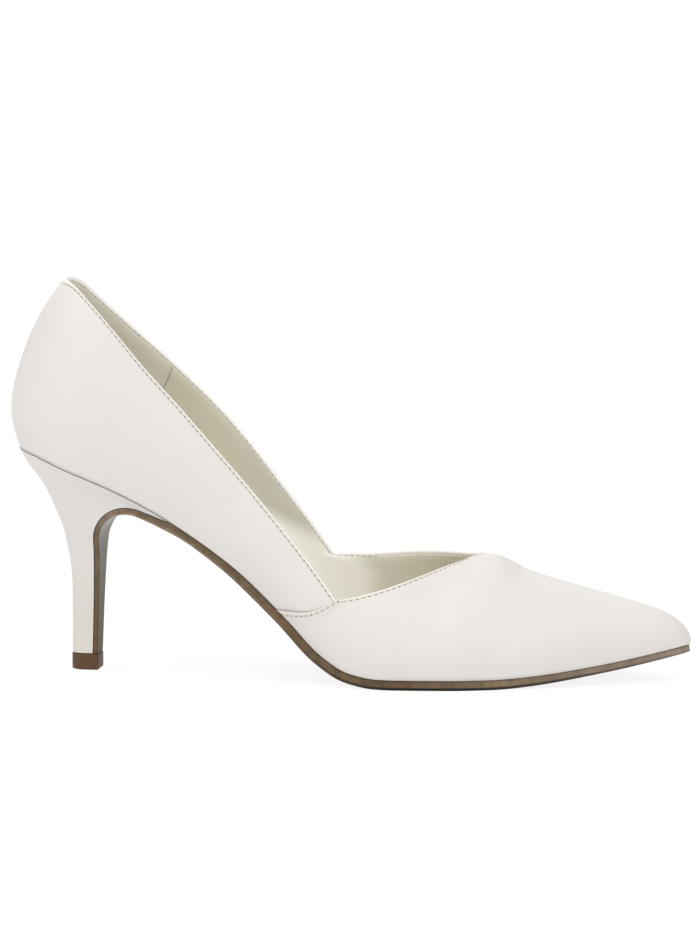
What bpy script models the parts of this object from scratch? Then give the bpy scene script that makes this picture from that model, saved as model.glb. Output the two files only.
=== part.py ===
"""Right shoe of a pair of pointed pumps, cut out at both sides, on a slim covered heel.

Sizes are in millimetres and become metres when a mesh is made. X runs to the toe, Y to the inner
(medial) side of the foot and Z up. The floor is Z = 0, below the middle of the shoe.
"""

import bmesh
import bpy
import numpy as np

MM = 0.001

# Driving sizes
TOE_X = 122.9
WALL = 1.8
LAP = 0.8
LAP_FADE = 12.0
LAP_EDGE = 0.3
GAP = 0.3
SOLE_INSET = 0.7
INSOLE_THICKNESS = 2.0
INSOLE_INSET = WALL + 0.7
INSOLE_TOE_GAP = 6.0
INSOLE_GAP = 0.4
SHARP_ANGLE = 40.0
SLOPE_REACH = 0.5

# Heel end of the upper: half an ellipse in plan, closed round the back
HEEL_CENTRE_X = -96.0
HEEL_ARC = 38.0
BACK_STATION = HEEL_CENTRE_X - HEEL_ARC
BACK_RADIUS = 24.2
BACK_BULGE = 7.0

# Toe end of the upper: widths and heights close to the tip over this length, the faster the nearer to it
NOSE_LENGTH = 60.0
NOSE_POWER = 1.4
NOSE_X = TOE_X - NOSE_LENGTH

# Throat of the vamp on the ridge, and the corner of the cut-out on each side
THROAT_X = 47.5
OUTER, INNER = -1, 1
CORNER_TOP_X = {OUTER: 0.0, INNER: -9.9}
CORNER_BASE_X = {OUTER: -22.8, INNER: -32.4}

# How much the ribs bow to the toe between feather edge and top, as a share of their slant
RIB_BOW = 0.08

# Side view: height of the feather edge, where the upper meets the sole
FEATHER_LINE = [
    # x, z
    (-120.4, 81.5), (-111.0, 79.5), (-102.0, 76.1), (-80.0, 66.9), (-63.0, 57.7), (-40.0, 42.0),
    (-21.0, 25.2), (-6.0, 10.9), (4.0, 5.4), (14.0, 3.8), (22.0, 3.7), (54.0, 3.7), (66.0, 4.4),
    (92.0, 7.5), (TOE_X, 13.2),
]

# Side view: height of the last above the feather edge, before the toe closes it
ARCH_LINE = [
    # x, height
    (HEEL_CENTRE_X, 76.2), (-80.0, 73.8), (-60.0, 69.2), (-40.0, 68.0), (-20.0, 67.5), (0.0, 62.5),
    (20.0, 53.2), (31.0, 46.6), (36.0, 44.3), (40.0, 42.8), (44.0, 41.6), (THROAT_X, 40.8), (51.0, 40.4),
    (54.0, 39.8), (57.1, 38.3), (60.0, 36.6), (NOSE_X, 34.8), (80.0, 30.8), (100.0, 28.3), (TOE_X, 27.4),
]

# Side view: topline of each quarter, from the back seam to the corner of the cut-out
QUARTER_LINE = {
    # x, z
    OUTER: [(-102.5, 142.9), (-100.0, 142.1), (-97.2, 140.7), (-93.7, 138.0), (-87.3, 131.9), (-79.1, 122.9),
            (-71.7, 114.4), (-57.4, 98.8), (-42.9, 82.7), (-28.3, 66.4), (-17.2, 53.4), (-5.4, 39.1),
            (CORNER_TOP_X[OUTER], 31.8)],
    INNER: [(-102.5, 142.9), (-100.0, 140.8), (-96.8, 136.8), (-91.7, 131.3), (-84.8, 124.8), (-73.8, 115.1),
            (-62.6, 105.1), (-51.4, 94.5), (-40.3, 82.1), (-29.4, 67.9), (-18.6, 53.1),
            (CORNER_TOP_X[INNER], 39.6)],
}

# Side view: edge of the vamp, from the corner of the cut-out to the throat
VAMP_LINE = {
    # x, z
    OUTER: [(CORNER_TOP_X[OUTER], 31.8), (8.1, 33.7), (15.6, 35.8), (25.7, 39.1), (32.2, 41.2), (36.9, 42.7),
            (40.0, 43.5), (43.1, 44.2), (45.4, 44.6), (THROAT_X, 44.5)],
    INNER: [(CORNER_TOP_X[INNER], 39.6), (2.8, 39.8), (14.1, 40.6), (29.6, 41.9), (36.4, 42.35),
            (41.3, 42.65), (45.0, 43.0), (THROAT_X, 44.5)],
}

# Sections of the last: axis is the ridge's Y, outer and inner are widths from it at the feather edge, bulge
# and belly say how far and how high the wall swells, round is the form of its top, lean tips it to the toe
SECTION_COLUMNS = ("station", "axis", "outer", "inner", "rise", "bulge", "belly", "round", "lean")
SECTIONS = [
    (-96.0, 0.0, 24.6, 24.6, 0.0, 4.8, 0.28, 2.0, 12.0),
    (-80.0, 0.0, 24.0, 23.8, 0.0, 5.2, 0.30, 2.0, 10.5),
    (-60.0, 0.0, 22.6, 21.6, 0.6, 5.6, 0.30, 2.0, 7.0),
    (-40.0, 0.0, 22.8, 19.6, 3.0, 5.8, 0.29, 2.0, 3.0),
    (-20.0, 0.0, 26.2, 21.8, 2.6, 5.4, 0.25, 2.0, 0.0),
    (0.0, 0.0, 32.0, 29.4, 0.8, 4.4, 0.21, 2.0, 0.0),
    (20.0, 0.5, 36.0, 35.2, 0.0, 3.4, 0.19, 1.9, 0.0),
    (40.0, 1.4, 35.2, 36.2, 0.0, 2.8, 0.20, 1.8, 0.0),
    (60.0, 2.4, 30.6, 32.2, 0.0, 2.4, 0.22, 1.8, 0.0),
    (80.0, 3.2, 26.4, 27.4, 0.0, 2.2, 0.24, 1.9, 0.0),
    (100.0, 4.0, 21.8, 22.2, 0.0, 2.0, 0.26, 2.0, 0.0),
    (TOE_X, 4.6, 17.3, 17.3, 0.0, 2.0, 0.28, 2.0, 0.0),
]

# Depth of the lasting margin, turned in under the foot
FLANGE_DEPTH = [
    # x, depth
    (80.0, 9.0), (TOE_X, 4.0),
]

# Outsole thickness along the foot, and where its foot part ends in front of the wedge of the heel
SOLE_THICKNESS = [
    # x, thickness
    (-63.0, 2.6), (-45.0, 3.0), (-30.0, 3.4), (54.0, 3.4), (92.0, 2.7), (TOE_X, 2.4),
]
SOLE_END_AHEAD = 5.0
SOLE_EASE = 9.0

# Joint of heel and outsole in side view: a sloping line, an arc and the line of the breast
HOOK_TIP_X = -63.0
HOOK_CENTRE = (-77.9, 47.1)
HOOK_RADIUS = 14.3
HOOK_SLOPE = 19.9
BREAST_LEAN = 1.8
HOOK_STEPS = {"line": 5, "arc": 9, "breast": 9}

# Half width of the joint, and thickness of the flap, by share of the way from the tip of the heel's wedge
HOOK_WIDTH = [
    # share, half width
    (0.0, 22.3), (0.19, 20.2), (0.3, 17.2), (0.415, 12.5), (0.47, 9.8), (0.53, 7.9), (0.65, 6.4), (0.8, 5.4),
    (1.0, 5.0),
]
FLAP_THICKNESS = [
    # share, thickness
    (0.0, 2.5), (0.3, 2.1), (0.6, 1.8), (1.0, 1.6),
]

# Heel, with the share of its height that ends each stretch of the joint
HEEL_UP_SHARE = {"breast": 0.57, "arc": 0.85}
HEEL_PROUD = 0.5
HEEL_BACK_X = -101.8
HEEL_STRAIGHT = 0.33
HEEL_TIP_HALF_WIDTH = 5.0
HEEL_ROUND_SHARE = 0.55
TOP_PIECE_HEIGHT = 5.8
TOP_PIECE_PROUD = 0.2
HEEL_FOOT_Z = TOP_PIECE_HEIGHT + GAP

# Sweep of the heel's back, from its straight stem to the seat
HEEL_SWEEP = [
    # share of the height, share of the way out
    (0.0, 0.0), (0.11, 0.02), (0.25, 0.072), (0.4, 0.16), (0.51, 0.272), (0.63, 0.418), (0.75, 0.596),
    (0.86, 0.802), (1.0, 1.0),
]

# Mesh steps
WALL_STEPS = 10
QUARTER_STEPS = 20
VAMP_EDGE_STEPS = 18
TOE_STEPS = 16
SOLE_STEPS = 54
SOLE_ACROSS = 7
HEEL_STEPS_ROUND = 14
BISECTIONS = 40
MERGE = 1e-6


def smooth(rows, x):
    """Curve through rows of (x, value), with no overshoot between them."""
    xs, ys = np.array(rows, float).T
    step = np.diff(xs)
    slope = np.diff(ys) / step
    same_way = slope[1:] * slope[:-1] > 0
    front, rear = np.where(same_way, slope[1:], 1.0), np.where(same_way, slope[:-1], 1.0)
    ahead, behind = step[1:] + 2 * step[:-1], 2 * step[1:] + step[:-1]
    mean = (ahead + behind) / (behind / rear + ahead / front)
    tangent = np.concatenate([slope[:1], np.where(same_way, mean, 0.0), slope[-1:]])
    x = np.clip(x, xs[0], xs[-1])
    k = np.clip(np.searchsorted(xs, x) - 1, 0, len(step) - 1)
    t = (x - xs[k]) / step[k]
    ease = t * t * (3 - 2 * t)
    bend = step[k] * (t * (1 - t) ** 2 * tangent[k] - t * t * (1 - t) * tangent[k + 1])
    return ys[k] * (1 - ease) + ys[k + 1] * ease + bend


def section(column, x):
    """One column of the section table, between its rows."""
    place = SECTION_COLUMNS.index(column)
    return smooth([(row[0], row[place]) for row in SECTIONS], x)


def half_width(side, x):
    """Width of the last from its axis to one side, at the feather edge."""
    return section("inner" if side == INNER else "outer", x)


def underside(x, y):
    """Height of the last's underside, which rises to the inner side at the arch."""
    inward = np.clip((y - section("axis", x)) / section("inner", x), 0.0, 1.0)
    return smooth(FEATHER_LINE, x) + section("rise", x) * inward ** 2


def slant(x):
    """How much longer a thickness is when it is measured upright on the sloping feather line."""
    ahead, behind = (smooth(FEATHER_LINE, x + way * SLOPE_REACH) for way in (1, -1))
    slope = (ahead - behind) / (2 * SLOPE_REACH)
    return np.sqrt(1 + slope ** 2)


def swell(t, width, bulge, belly, roundness):
    """Half width at share t of the height: swelling to the belly, then closing to the ridge."""
    low = width + bulge * (1 - (1 - np.minimum(t / belly, 1.0)) ** 2)
    above = np.clip((t - belly) / (1 - belly), 0.0, 1.0)
    return low * np.sqrt(1 - above ** roundness)


def nose(x, length=NOSE_LENGTH):
    """Share of the way into the toe, and how much of the width and height is left there."""
    share = np.clip((x - NOSE_X) / length, 0.0, 1.0)
    return share, np.sqrt(1 - share ** NOSE_POWER)


def arch_height(station, inset=0.0):
    """Height from the feather edge to the top of the last, or of the room left by a wall inside it."""
    _, left = nose(station)
    return inset + (smooth(ARCH_LINE, station) - 2 * inset) * left


def wall_point(side, station, height, inset=0.0, lap=0.0):
    """Point of the upper's wall at a station along the foot and a height above the feather edge."""
    x = np.maximum(station, HEEL_CENTRE_X)
    share, left = nose(station)
    turn = np.clip((HEEL_CENTRE_X - station) / HEEL_ARC, 0.0, 1.0) * np.pi / 2
    t = height / np.maximum(arch_height(station, inset), MERGE)
    belly, roundness = section("belly", x), section("round", x)
    width, bulge = (half_width(side, x) - inset) * left, section("bulge", x) * left
    across = swell(t, width, bulge, belly, roundness) + lap
    behind = swell(t, BACK_RADIUS - inset, BACK_BULGE, belly, roundness)
    foot_x = x - (BACK_RADIUS - inset) * np.sin(turn)
    foot_y = section("axis", x) + side * half_width(side, x) * left * np.cos(turn)
    lean = np.radians(section("lean", x))
    return np.stack([
        np.where(share > 0, NOSE_X + share * (NOSE_LENGTH - inset), x - behind * np.sin(turn))
        + height * np.sin(lean),
        section("axis", x) + side * across * np.cos(turn),
        underside(foot_x, foot_y) + height * np.cos(lean),
    ], axis=-1)


def bowed(share):
    """Share of a rib's slant that is reached at a share of its height."""
    return share + RIB_BOW * share * (1 - share)


def top_height(side, station):
    """Height above the feather edge of the topline, or of the ridge in front of the throat."""
    on_quarter = station < CORNER_TOP_X[side]
    low = np.zeros_like(station)
    high = arch_height(station)
    for _ in range(BISECTIONS):
        middle = (low + high) / 2
        point = wall_point(side, station, middle)
        quarter, vamp = (smooth(rows[side], point[..., 0]) for rows in (QUARTER_LINE, VAMP_LINE))
        above = point[..., 2] > np.where(on_quarter, quarter, vamp)
        low, high = np.where(above, low, middle), np.where(above, middle, high)
    return np.where(station >= THROAT_X, arch_height(station), low)


def upper_columns(side):
    """Stations of the ribs at the feather edge and at the top, and the lap of each, from back seam to toe."""
    corner_top, corner_base = CORNER_TOP_X[side], CORNER_BASE_X[side]
    share = np.linspace(0.0, 1.0, QUARTER_STEPS + 1)
    quarter_top = BACK_STATION + (corner_top - BACK_STATION) * share
    quarter_base = BACK_STATION + (corner_base - BACK_STATION) * share
    share = np.sin(np.linspace(0.0, np.pi / 2, VAMP_EDGE_STEPS + 1))
    share[0] = LAP_EDGE / (THROAT_X - corner_base)
    vamp_top = corner_top + (THROAT_X - corner_top) * share
    vamp_base = corner_base + (THROAT_X - corner_base) * share
    toe = THROAT_X + (TOE_X - THROAT_X) * np.sin(np.linspace(0.0, np.pi / 2, TOE_STEPS + 1))[1:]
    top = np.concatenate([quarter_top, vamp_top, toe])
    base = np.concatenate([quarter_base, vamp_base, toe])
    past_seam = np.clip((top - corner_top) / LAP_FADE, 0.0, 1.0)
    lap = np.where(top > corner_top, LAP * (1 - past_seam) ** 2, 0.0)
    return base, top, lap


def flange_points(side, foot, depth):
    """Points of the lasting margin, turned in from the feather edge by a depth at each rib."""
    along = np.gradient(foot[:, :2], axis=0)
    inward = side * np.stack([along[:, 1], -along[:, 0]], axis=-1)
    inward /= np.linalg.norm(inward, axis=-1, keepdims=True)
    inward[0], inward[-1] = (1.0, 0.0), (-1.0, 0.0)
    plan = foot[:, :2] + inward * depth[:, None]
    return np.column_stack([plan, underside(plan[:, 0], plan[:, 1])])


def upper_half(side):
    """Ribs of one side as a grid of points: up the outside, down the inside and round the lasting margin."""
    base, top, lap = upper_columns(side)
    rise = np.sin(np.linspace(0.0, np.pi / 2, WALL_STEPS + 1))
    station = base[:, None] + (top - base)[:, None] * bowed(rise)
    tall = top_height(side, top)
    tall[:1] = top_height(OUTER, top[:1])
    closing = np.clip((tall / np.maximum(arch_height(top), MERGE) - section("belly", top))
                      / (1 - section("belly", top)), 0.0, 1.0)
    room = np.where(top >= THROAT_X, arch_height(top, WALL), tall - WALL * closing)
    outside = wall_point(side, station, tall[:, None] * rise, lap=lap[:, None])
    floor = np.minimum(WALL * slant(base), arch_height(base, WALL))[:, None]
    inside = wall_point(side, station, floor + (room[:, None] - floor) * rise, inset=WALL)
    depth = smooth(FLANGE_DEPTH, base)
    margin = flange_points(side, outside[:, 0], depth)
    middle = flange_points(side, outside[:, 0], depth / 2)
    margin_top = margin.copy()
    margin_top[:, 2] += WALL * slant(margin[:, 0])
    rounds = [outside, inside[:, ::-1], margin_top[:, None], margin[:, None], middle[:, None]]
    return np.concatenate(rounds, axis=1), int(np.argmax(top >= THROAT_X))


def make_object(name, points, faces, material):
    """Closed mesh object from points in millimetres, with points that coincide joined."""
    mesh = bpy.data.meshes.new(name)
    mesh.from_pydata([tuple(p * MM for p in point) for point in points], [], faces)
    shape = bmesh.new()
    shape.from_mesh(mesh)
    bmesh.ops.remove_doubles(shape, verts=shape.verts, dist=MERGE)
    bmesh.ops.dissolve_degenerate(shape, edges=shape.edges, dist=MERGE)
    bmesh.ops.recalc_face_normals(shape, faces=shape.faces)
    bmesh.ops.triangulate(shape, faces=shape.faces)
    shape.to_mesh(mesh)
    shape.free()
    mesh.materials.append(material)
    mesh.shade_smooth()
    mesh.set_sharp_from_angle(angle=np.radians(SHARP_ANGLE))
    part = bpy.data.objects.new(name, mesh)
    bpy.context.scene.collection.objects.link(part)
    return part


def strip_faces(rows, columns, closed, start=0, skip=()):
    """Quads between the rows of a grid of points; skip names (row, column) quads that are left open."""
    faces = []
    last = columns if closed else columns - 1
    for row in range(rows - 1):
        for column in range(last):
            if (row, column) in skip:
                continue
            after = (column + 1) % columns
            near, far = start + row * columns, start + (row + 1) * columns
            faces.append((near + column, near + after, far + after, far + column))
    return faces


def make_material(name, colour, roughness):
    """Plain material of one colour."""
    material = bpy.data.materials.new(name)
    material.use_nodes = True
    shader = material.node_tree.nodes["Principled BSDF"]
    shader.inputs["Base Color"].default_value = (*colour, 1.0)
    shader.inputs["Roughness"].default_value = roughness
    shader.inputs["Metallic"].default_value = 0.0
    return material


def make_upper(material):
    """Hollow shell of both sides, open along the topline, at the cut-outs and underneath."""
    points, faces = [], []
    for side in (OUTER, INNER):
        grid, throat = upper_half(side)
        rows, columns = grid.shape[:2]
        open_top = {(row, WALL_STEPS) for row in range(throat, rows)}
        faces += strip_faces(rows, columns, True, len(points), open_top)
        points += list(grid.reshape(-1, 3))
    return make_object("upper", points, faces, material)


def outline_width(side, x, inset, tip_gap):
    """Half width of a flat piece inside the feather edge, at x between heel and toe."""
    back = np.clip((HEEL_CENTRE_X - x) / (BACK_RADIUS - inset), 0.0, 1.0)
    _, left = nose(x, NOSE_LENGTH - tip_gap)
    return (half_width(side, x) - inset) * np.sqrt(1 - back ** 2) * left


def ribbon(sections_top, sections_bottom):
    """Points and faces of a closed ribbon from its upper and lower lines across, section by section."""
    grid = np.concatenate([sections_top, sections_bottom[:, ::-1]], axis=1)
    rows, columns = grid.shape[:2]
    faces = strip_faces(rows, columns, True)
    half = columns // 2
    for row in (0, rows - 1):
        for place in range(half - 1):
            near, far = row * columns + place, (row + 1) * columns - 1 - place
            faces.append((near, near + 1, far - 1, far))
    return list(grid.reshape(-1, 3)), faces


def make_insole(material):
    """Thin board lying on the lasting margin, inside the upper."""
    back_x, toe_x = HEEL_CENTRE_X - BACK_RADIUS + INSOLE_INSET, TOE_X - INSOLE_TOE_GAP
    x = (back_x + toe_x) / 2 - (toe_x - back_x) / 2 * np.cos(np.linspace(0.0, np.pi, SOLE_STEPS + 1))
    outer, inner = (outline_width(side, x, INSOLE_INSET, INSOLE_TOE_GAP) for side in (OUTER, INNER))
    across = np.linspace(0.0, 1.0, SOLE_ACROSS)
    y = (section("axis", x) - outer)[:, None] + (outer + inner)[:, None] * across
    x = np.repeat(x[:, None], SOLE_ACROSS, axis=1)
    bottom = np.stack([x, y, underside(x, y) + (WALL + INSOLE_GAP) * slant(x)], axis=-1)
    top = np.stack([x, y, bottom[..., 2] + INSOLE_THICKNESS * slant(x)], axis=-1)
    points, faces = ribbon(top, bottom)
    return make_object("insole", points, faces, material)


def hook_path():
    """Joint of heel and outsole in side view, from the wedge's tip to the top piece, with its normals."""
    slope, lean = np.radians(HOOK_SLOPE), np.radians(BREAST_LEAN)
    centre = np.array(HOOK_CENTRE)
    angle = np.linspace(slope, lean - np.pi / 2, HOOK_STEPS["arc"] + 1)
    arc_normal = -np.stack([np.sin(angle), np.cos(angle)], axis=-1)
    arc = centre - HOOK_RADIUS * arc_normal
    line_x = np.linspace(HOOK_TIP_X, arc[0, 0], HOOK_STEPS["line"] + 1)[:-1]
    line = np.column_stack([line_x, arc[0, 1] - (line_x - arc[0, 0]) * np.tan(slope)])
    breast_z = np.linspace(arc[-1, 1], HEEL_FOOT_Z, HOOK_STEPS["breast"] + 1)[1:]
    breast = np.column_stack([arc[-1, 0] + (breast_z - arc[-1, 1]) * np.tan(lean), breast_z])
    path = np.concatenate([line, arc, breast])
    normal = np.concatenate([np.repeat(arc_normal[:1], len(line), axis=0), arc_normal,
                             np.repeat(arc_normal[-1:], len(breast), axis=0)])
    length = np.concatenate([[0.0], np.cumsum(np.linalg.norm(np.diff(path, axis=0), axis=-1))])
    return path, normal, length / length[-1]


def eased(path, corner, reach):
    """Path with the corner at one of its points rounded, over a reach to both sides."""
    run = np.concatenate([[0.0], np.cumsum(np.linalg.norm(np.diff(path, axis=0), axis=-1))])
    share = ((run - run[corner]) / reach + 1) / 2
    ends = [[np.interp(run[corner] + way * reach, run, part) for part in path.T] for way in (-1, 1)]
    t = share[:, None]
    bend = (1 - t) ** 2 * np.array(ends[0]) + 2 * t * (1 - t) * path[corner] + t ** 2 * np.array(ends[1])
    return np.where((t > 0) & (t < 1), bend, path)


def make_outsole(material):
    """Sole from the toe to the heel, and on over the hook as the flap on the breast."""
    hook, hook_normal, hook_share = hook_path()
    toe_x = TOE_X - SOLE_INSET
    foot_length = toe_x - HOOK_TIP_X - SOLE_END_AHEAD
    foot_x = toe_x - foot_length * (1 - np.cos(np.linspace(0.0, np.pi / 2, SOLE_STEPS + 1)))
    feather_z = smooth(FEATHER_LINE, foot_x)
    foot_z = feather_z - GAP * slant(foot_x)
    path = np.concatenate([np.column_stack([foot_x, foot_z]), hook + hook_normal * GAP / 2])
    along = np.gradient(path, axis=0)
    normal = np.stack([-along[:, 1], along[:, 0]], axis=-1) / np.linalg.norm(along, axis=-1, keepdims=True)
    thickness = np.concatenate([smooth(SOLE_THICKNESS, foot_x), smooth(FLAP_THICKNESS, hook_share)])
    flap_width = smooth(HOOK_WIDTH, hook_share)
    outer, inner = (outline_width(side, foot_x, SOLE_INSET, SOLE_INSET) for side in (OUTER, INNER))
    left = np.concatenate([section("axis", foot_x) - outer, -flap_width])
    right = np.concatenate([section("axis", foot_x) + inner, flap_width])
    y = left[:, None] + (right - left)[:, None] * np.linspace(0.0, 1.0, SOLE_ACROSS)
    arch = np.zeros_like(y)
    arch[:len(foot_x)] = underside(foot_x[:, None], y[:len(foot_x)]) - feather_z[:, None]
    x = np.repeat(path[:, :1], SOLE_ACROSS, axis=1)
    top = np.stack([x, y, path[:, 1:] + arch], axis=-1)
    lower = eased(path + normal * thickness[:, None], len(foot_x), SOLE_EASE)
    lower_x = np.repeat(lower[:, :1], SOLE_ACROSS, axis=1)
    bottom = np.stack([lower_x, y, np.maximum(lower[:, 1:] + arch, 0.0)], axis=-1)
    points, faces = ribbon(top, bottom)
    return make_object("outsole", points, faces, material)


def heel_half(side):
    """Side of the heel as a blended patch between its back line, breast line, foot and seat."""
    hook, hook_normal, hook_share = hook_path()
    front_line = (hook - hook_normal * GAP / 2)[::-1]
    front_width = smooth(HOOK_WIDTH, hook_share)[::-1] * side
    arc_end = HOOK_STEPS["breast"] + HOOK_STEPS["arc"]
    steps = [(0.0, 0.0), (HOOK_STEPS["breast"], HEEL_UP_SHARE["breast"]), (arc_end, HEEL_UP_SHARE["arc"]),
             (len(hook) - 1, 1.0)]
    up = np.interp(np.arange(len(hook)), *np.array(steps).T)[:, None]

    turn = np.linspace(0.0, 1.0, HEEL_STEPS_ROUND + 1)
    round_angle = np.clip(turn / HEEL_ROUND_SHARE, 0.0, 1.0) * np.pi / 2
    straight = np.clip((turn - HEEL_ROUND_SHARE) / (1 - HEEL_ROUND_SHARE), 0.0, 1.0)
    station = np.where(turn < HEEL_ROUND_SHARE, BACK_STATION + HEEL_ARC * round_angle / (np.pi / 2),
                       HEEL_CENTRE_X + (HOOK_TIP_X - HEEL_CENTRE_X) * straight)
    seat = wall_point(side, station, np.zeros_like(station), inset=-HEEL_PROUD) - (0.0, 0.0, GAP)
    radius = HEEL_TIP_HALF_WIDTH
    foot_x = HEEL_BACK_X + radius * (1 - np.cos(round_angle))
    foot_x = foot_x + (front_line[0, 0] - HEEL_BACK_X - radius) * straight
    foot = np.stack([foot_x, side * radius * np.sin(round_angle), np.full_like(foot_x, HEEL_FOOT_Z)], axis=-1)

    back_z = HEEL_FOOT_Z + (seat[0, 2] - HEEL_FOOT_Z) * up[:, 0]
    flare = smooth(HEEL_SWEEP, (up - HEEL_STRAIGHT) / (1 - HEEL_STRAIGHT))
    back_x = foot[0, 0] + (seat[0, 0] - foot[0, 0]) * flare[:, 0]
    back = np.column_stack([back_x, np.zeros_like(back_z), back_z])
    front = np.column_stack([front_line[:, 0], front_width, front_line[:, 1]])
    seat[-1], foot[-1] = front[-1], front[0]
    mix = np.concatenate([flare, flare, up], axis=1)[:, None, :]
    turn = turn[None, :, None]
    ruled = (1 - turn) * back[:, None] + turn * front[:, None] + (1 - mix) * foot[None] + mix * seat[None]
    foot_chord = (1 - turn) * foot[0] + turn * foot[-1]
    seat_chord = (1 - turn) * seat[0] + turn * seat[-1]
    return ruled - (1 - mix) * foot_chord - mix * seat_chord


def make_heel(material):
    """Both sides of the heel, closed at its seat, its foot and its breast."""
    points, faces = [], []
    halves = [heel_half(side) for side in (OUTER, INNER)]
    rows, columns = halves[0].shape[:2]
    for grid in halves:
        faces += strip_faces(rows, columns, False, len(points))
        points += list(grid.reshape(-1, 3))
    other = rows * columns
    for row in (0, rows - 1):
        for column in range(columns - 1):
            first = row * columns + column
            faces.append((first, first + 1, other + first + 1, other + first))
    for row in range(rows - 1):
        first, after = row * columns + columns - 1, (row + 1) * columns + columns - 1
        faces.append((first, after, other + after, other + first))
    return make_object("heel", points, faces, material)


def make_top_piece(material):
    """Flat wearing piece below heel and flap: a round back and straight sides to a square front."""
    radius = HEEL_TIP_HALF_WIDTH + TOP_PIECE_PROUD
    centre_x = HEEL_BACK_X + HEEL_TIP_HALF_WIDTH
    hook, _, _ = hook_path()
    front_x = hook[-1, 0] + GAP / 2 + FLAP_THICKNESS[-1][1] + TOP_PIECE_PROUD
    angle = np.linspace(np.pi / 2, 3 * np.pi / 2, HEEL_STEPS_ROUND + 1)
    outline = np.column_stack([centre_x + radius * np.cos(angle), radius * np.sin(angle)])
    outline = np.concatenate([outline, [(front_x, -radius), (front_x, radius)]])
    count = len(outline)
    points = [(x, y, z) for z in (0.0, TOP_PIECE_HEIGHT) for x, y in outline]
    faces = strip_faces(2, count, True)
    faces += [tuple(range(count)), tuple(range(count, 2 * count))]
    return make_object("top_piece", points, faces, material)


def clear_scene():
    for item in list(bpy.data.objects):
        bpy.data.objects.remove(item)


def main():
    clear_scene()
    make_upper(make_material("white_leather", (0.82, 0.79, 0.74), 0.42))
    make_insole(make_material("cream_sock", (0.62, 0.58, 0.47), 0.6))
    make_outsole(make_material("brown_sole", (0.17, 0.105, 0.06), 0.55))
    make_heel(make_material("heel_cover", (0.80, 0.77, 0.72), 0.42))
    make_top_piece(make_material("brown_top_piece", (0.13, 0.08, 0.045), 0.6))


main()
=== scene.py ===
"""Looks of the right shoe of a pair of pointed white leather pumps on a slim covered heel.

Shapes are worked out in millimetres, from the same sizes as the solids, and become metres in a mesh.
X runs to the toe, Y to the inner side of the foot and Z up.
"""

import bmesh
import bpy
import numpy as np
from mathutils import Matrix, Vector


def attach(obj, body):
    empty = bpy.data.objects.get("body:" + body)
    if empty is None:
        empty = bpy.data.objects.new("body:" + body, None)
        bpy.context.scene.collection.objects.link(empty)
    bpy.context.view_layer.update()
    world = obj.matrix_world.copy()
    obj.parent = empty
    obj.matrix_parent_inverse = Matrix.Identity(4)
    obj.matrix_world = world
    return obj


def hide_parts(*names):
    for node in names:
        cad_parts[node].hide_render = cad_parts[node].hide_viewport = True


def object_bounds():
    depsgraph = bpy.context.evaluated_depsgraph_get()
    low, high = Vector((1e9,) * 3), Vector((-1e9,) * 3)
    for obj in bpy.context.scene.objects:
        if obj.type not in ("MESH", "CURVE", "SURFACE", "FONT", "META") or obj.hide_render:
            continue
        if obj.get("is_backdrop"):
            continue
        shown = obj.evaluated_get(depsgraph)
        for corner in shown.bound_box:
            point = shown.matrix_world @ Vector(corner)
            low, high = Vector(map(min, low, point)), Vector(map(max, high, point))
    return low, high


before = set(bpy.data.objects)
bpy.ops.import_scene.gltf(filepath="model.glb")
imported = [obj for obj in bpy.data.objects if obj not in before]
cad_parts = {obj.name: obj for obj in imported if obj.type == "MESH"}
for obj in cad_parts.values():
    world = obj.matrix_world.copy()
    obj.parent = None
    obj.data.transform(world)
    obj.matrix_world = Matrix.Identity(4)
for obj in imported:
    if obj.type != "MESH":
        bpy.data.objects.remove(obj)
cad_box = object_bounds()

MM = 0.001
MERGE = 1e-6

# Camera: where it looks from, what it looks at, its lens and how far it sees
CAMERA_AZIMUTH = 8.0
CAMERA_ELEVATION = 7.0
CAMERA_DISTANCE = 1.8
CAMERA_TARGET = Vector((0.0, 0.0, 0.0754))
CAMERA_LENS = 193.1
CAMERA_SENSOR = 36.0
CAMERA_REACH = 100.0

# Studio: brightness of the white surround, half size of the floor, its own glow, its tone and its roughness
SURROUND = 0.6
FLOOR_REACH = 30.0
FLOOR_GLOW = 0.87
FLOOR_TONE = 0.16
FLOOR_ROUGHNESS = 0.9

# Shoemaker's sizes, shared with the solids
OUTER, INNER = -1, 1
TOE_X = 122.9
WALL = 1.8
LAP = 0.8
GAP = 0.3
SOLE_INSET = 0.7
INSOLE_THICKNESS = 2.0
INSOLE_INSET = WALL + 0.7
INSOLE_TOE_GAP = 6.0
INSOLE_GAP = 0.4
SLOPE_REACH = 0.5
HEEL_CENTRE_X = -96.0
HEEL_ARC = 38.0
BACK_STATION = HEEL_CENTRE_X - HEEL_ARC
BACK_RADIUS = 24.2
BACK_BULGE = 7.0
NOSE_LENGTH = 60.0
NOSE_POWER = 1.4
NOSE_X = TOE_X - NOSE_LENGTH
THROAT_X = 47.5
CORNER_TOP_X = {OUTER: 0.0, INNER: -9.9}
CORNER_BASE_X = {OUTER: -22.8, INNER: -32.4}
RIB_BOW = 0.08

# Side view: feather edge, where the upper meets the sole, as (x, z)
FEATHER_LINE = [
    (-120.4, 81.5), (-111.0, 79.5), (-102.0, 76.1), (-80.0, 66.9), (-63.0, 57.7), (-40.0, 42.0),
    (-21.0, 25.2), (-6.0, 10.9), (4.0, 5.4), (14.0, 3.8), (22.0, 3.7), (54.0, 3.7), (66.0, 4.4),
    (92.0, 7.5), (TOE_X, 13.2),
]

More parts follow.
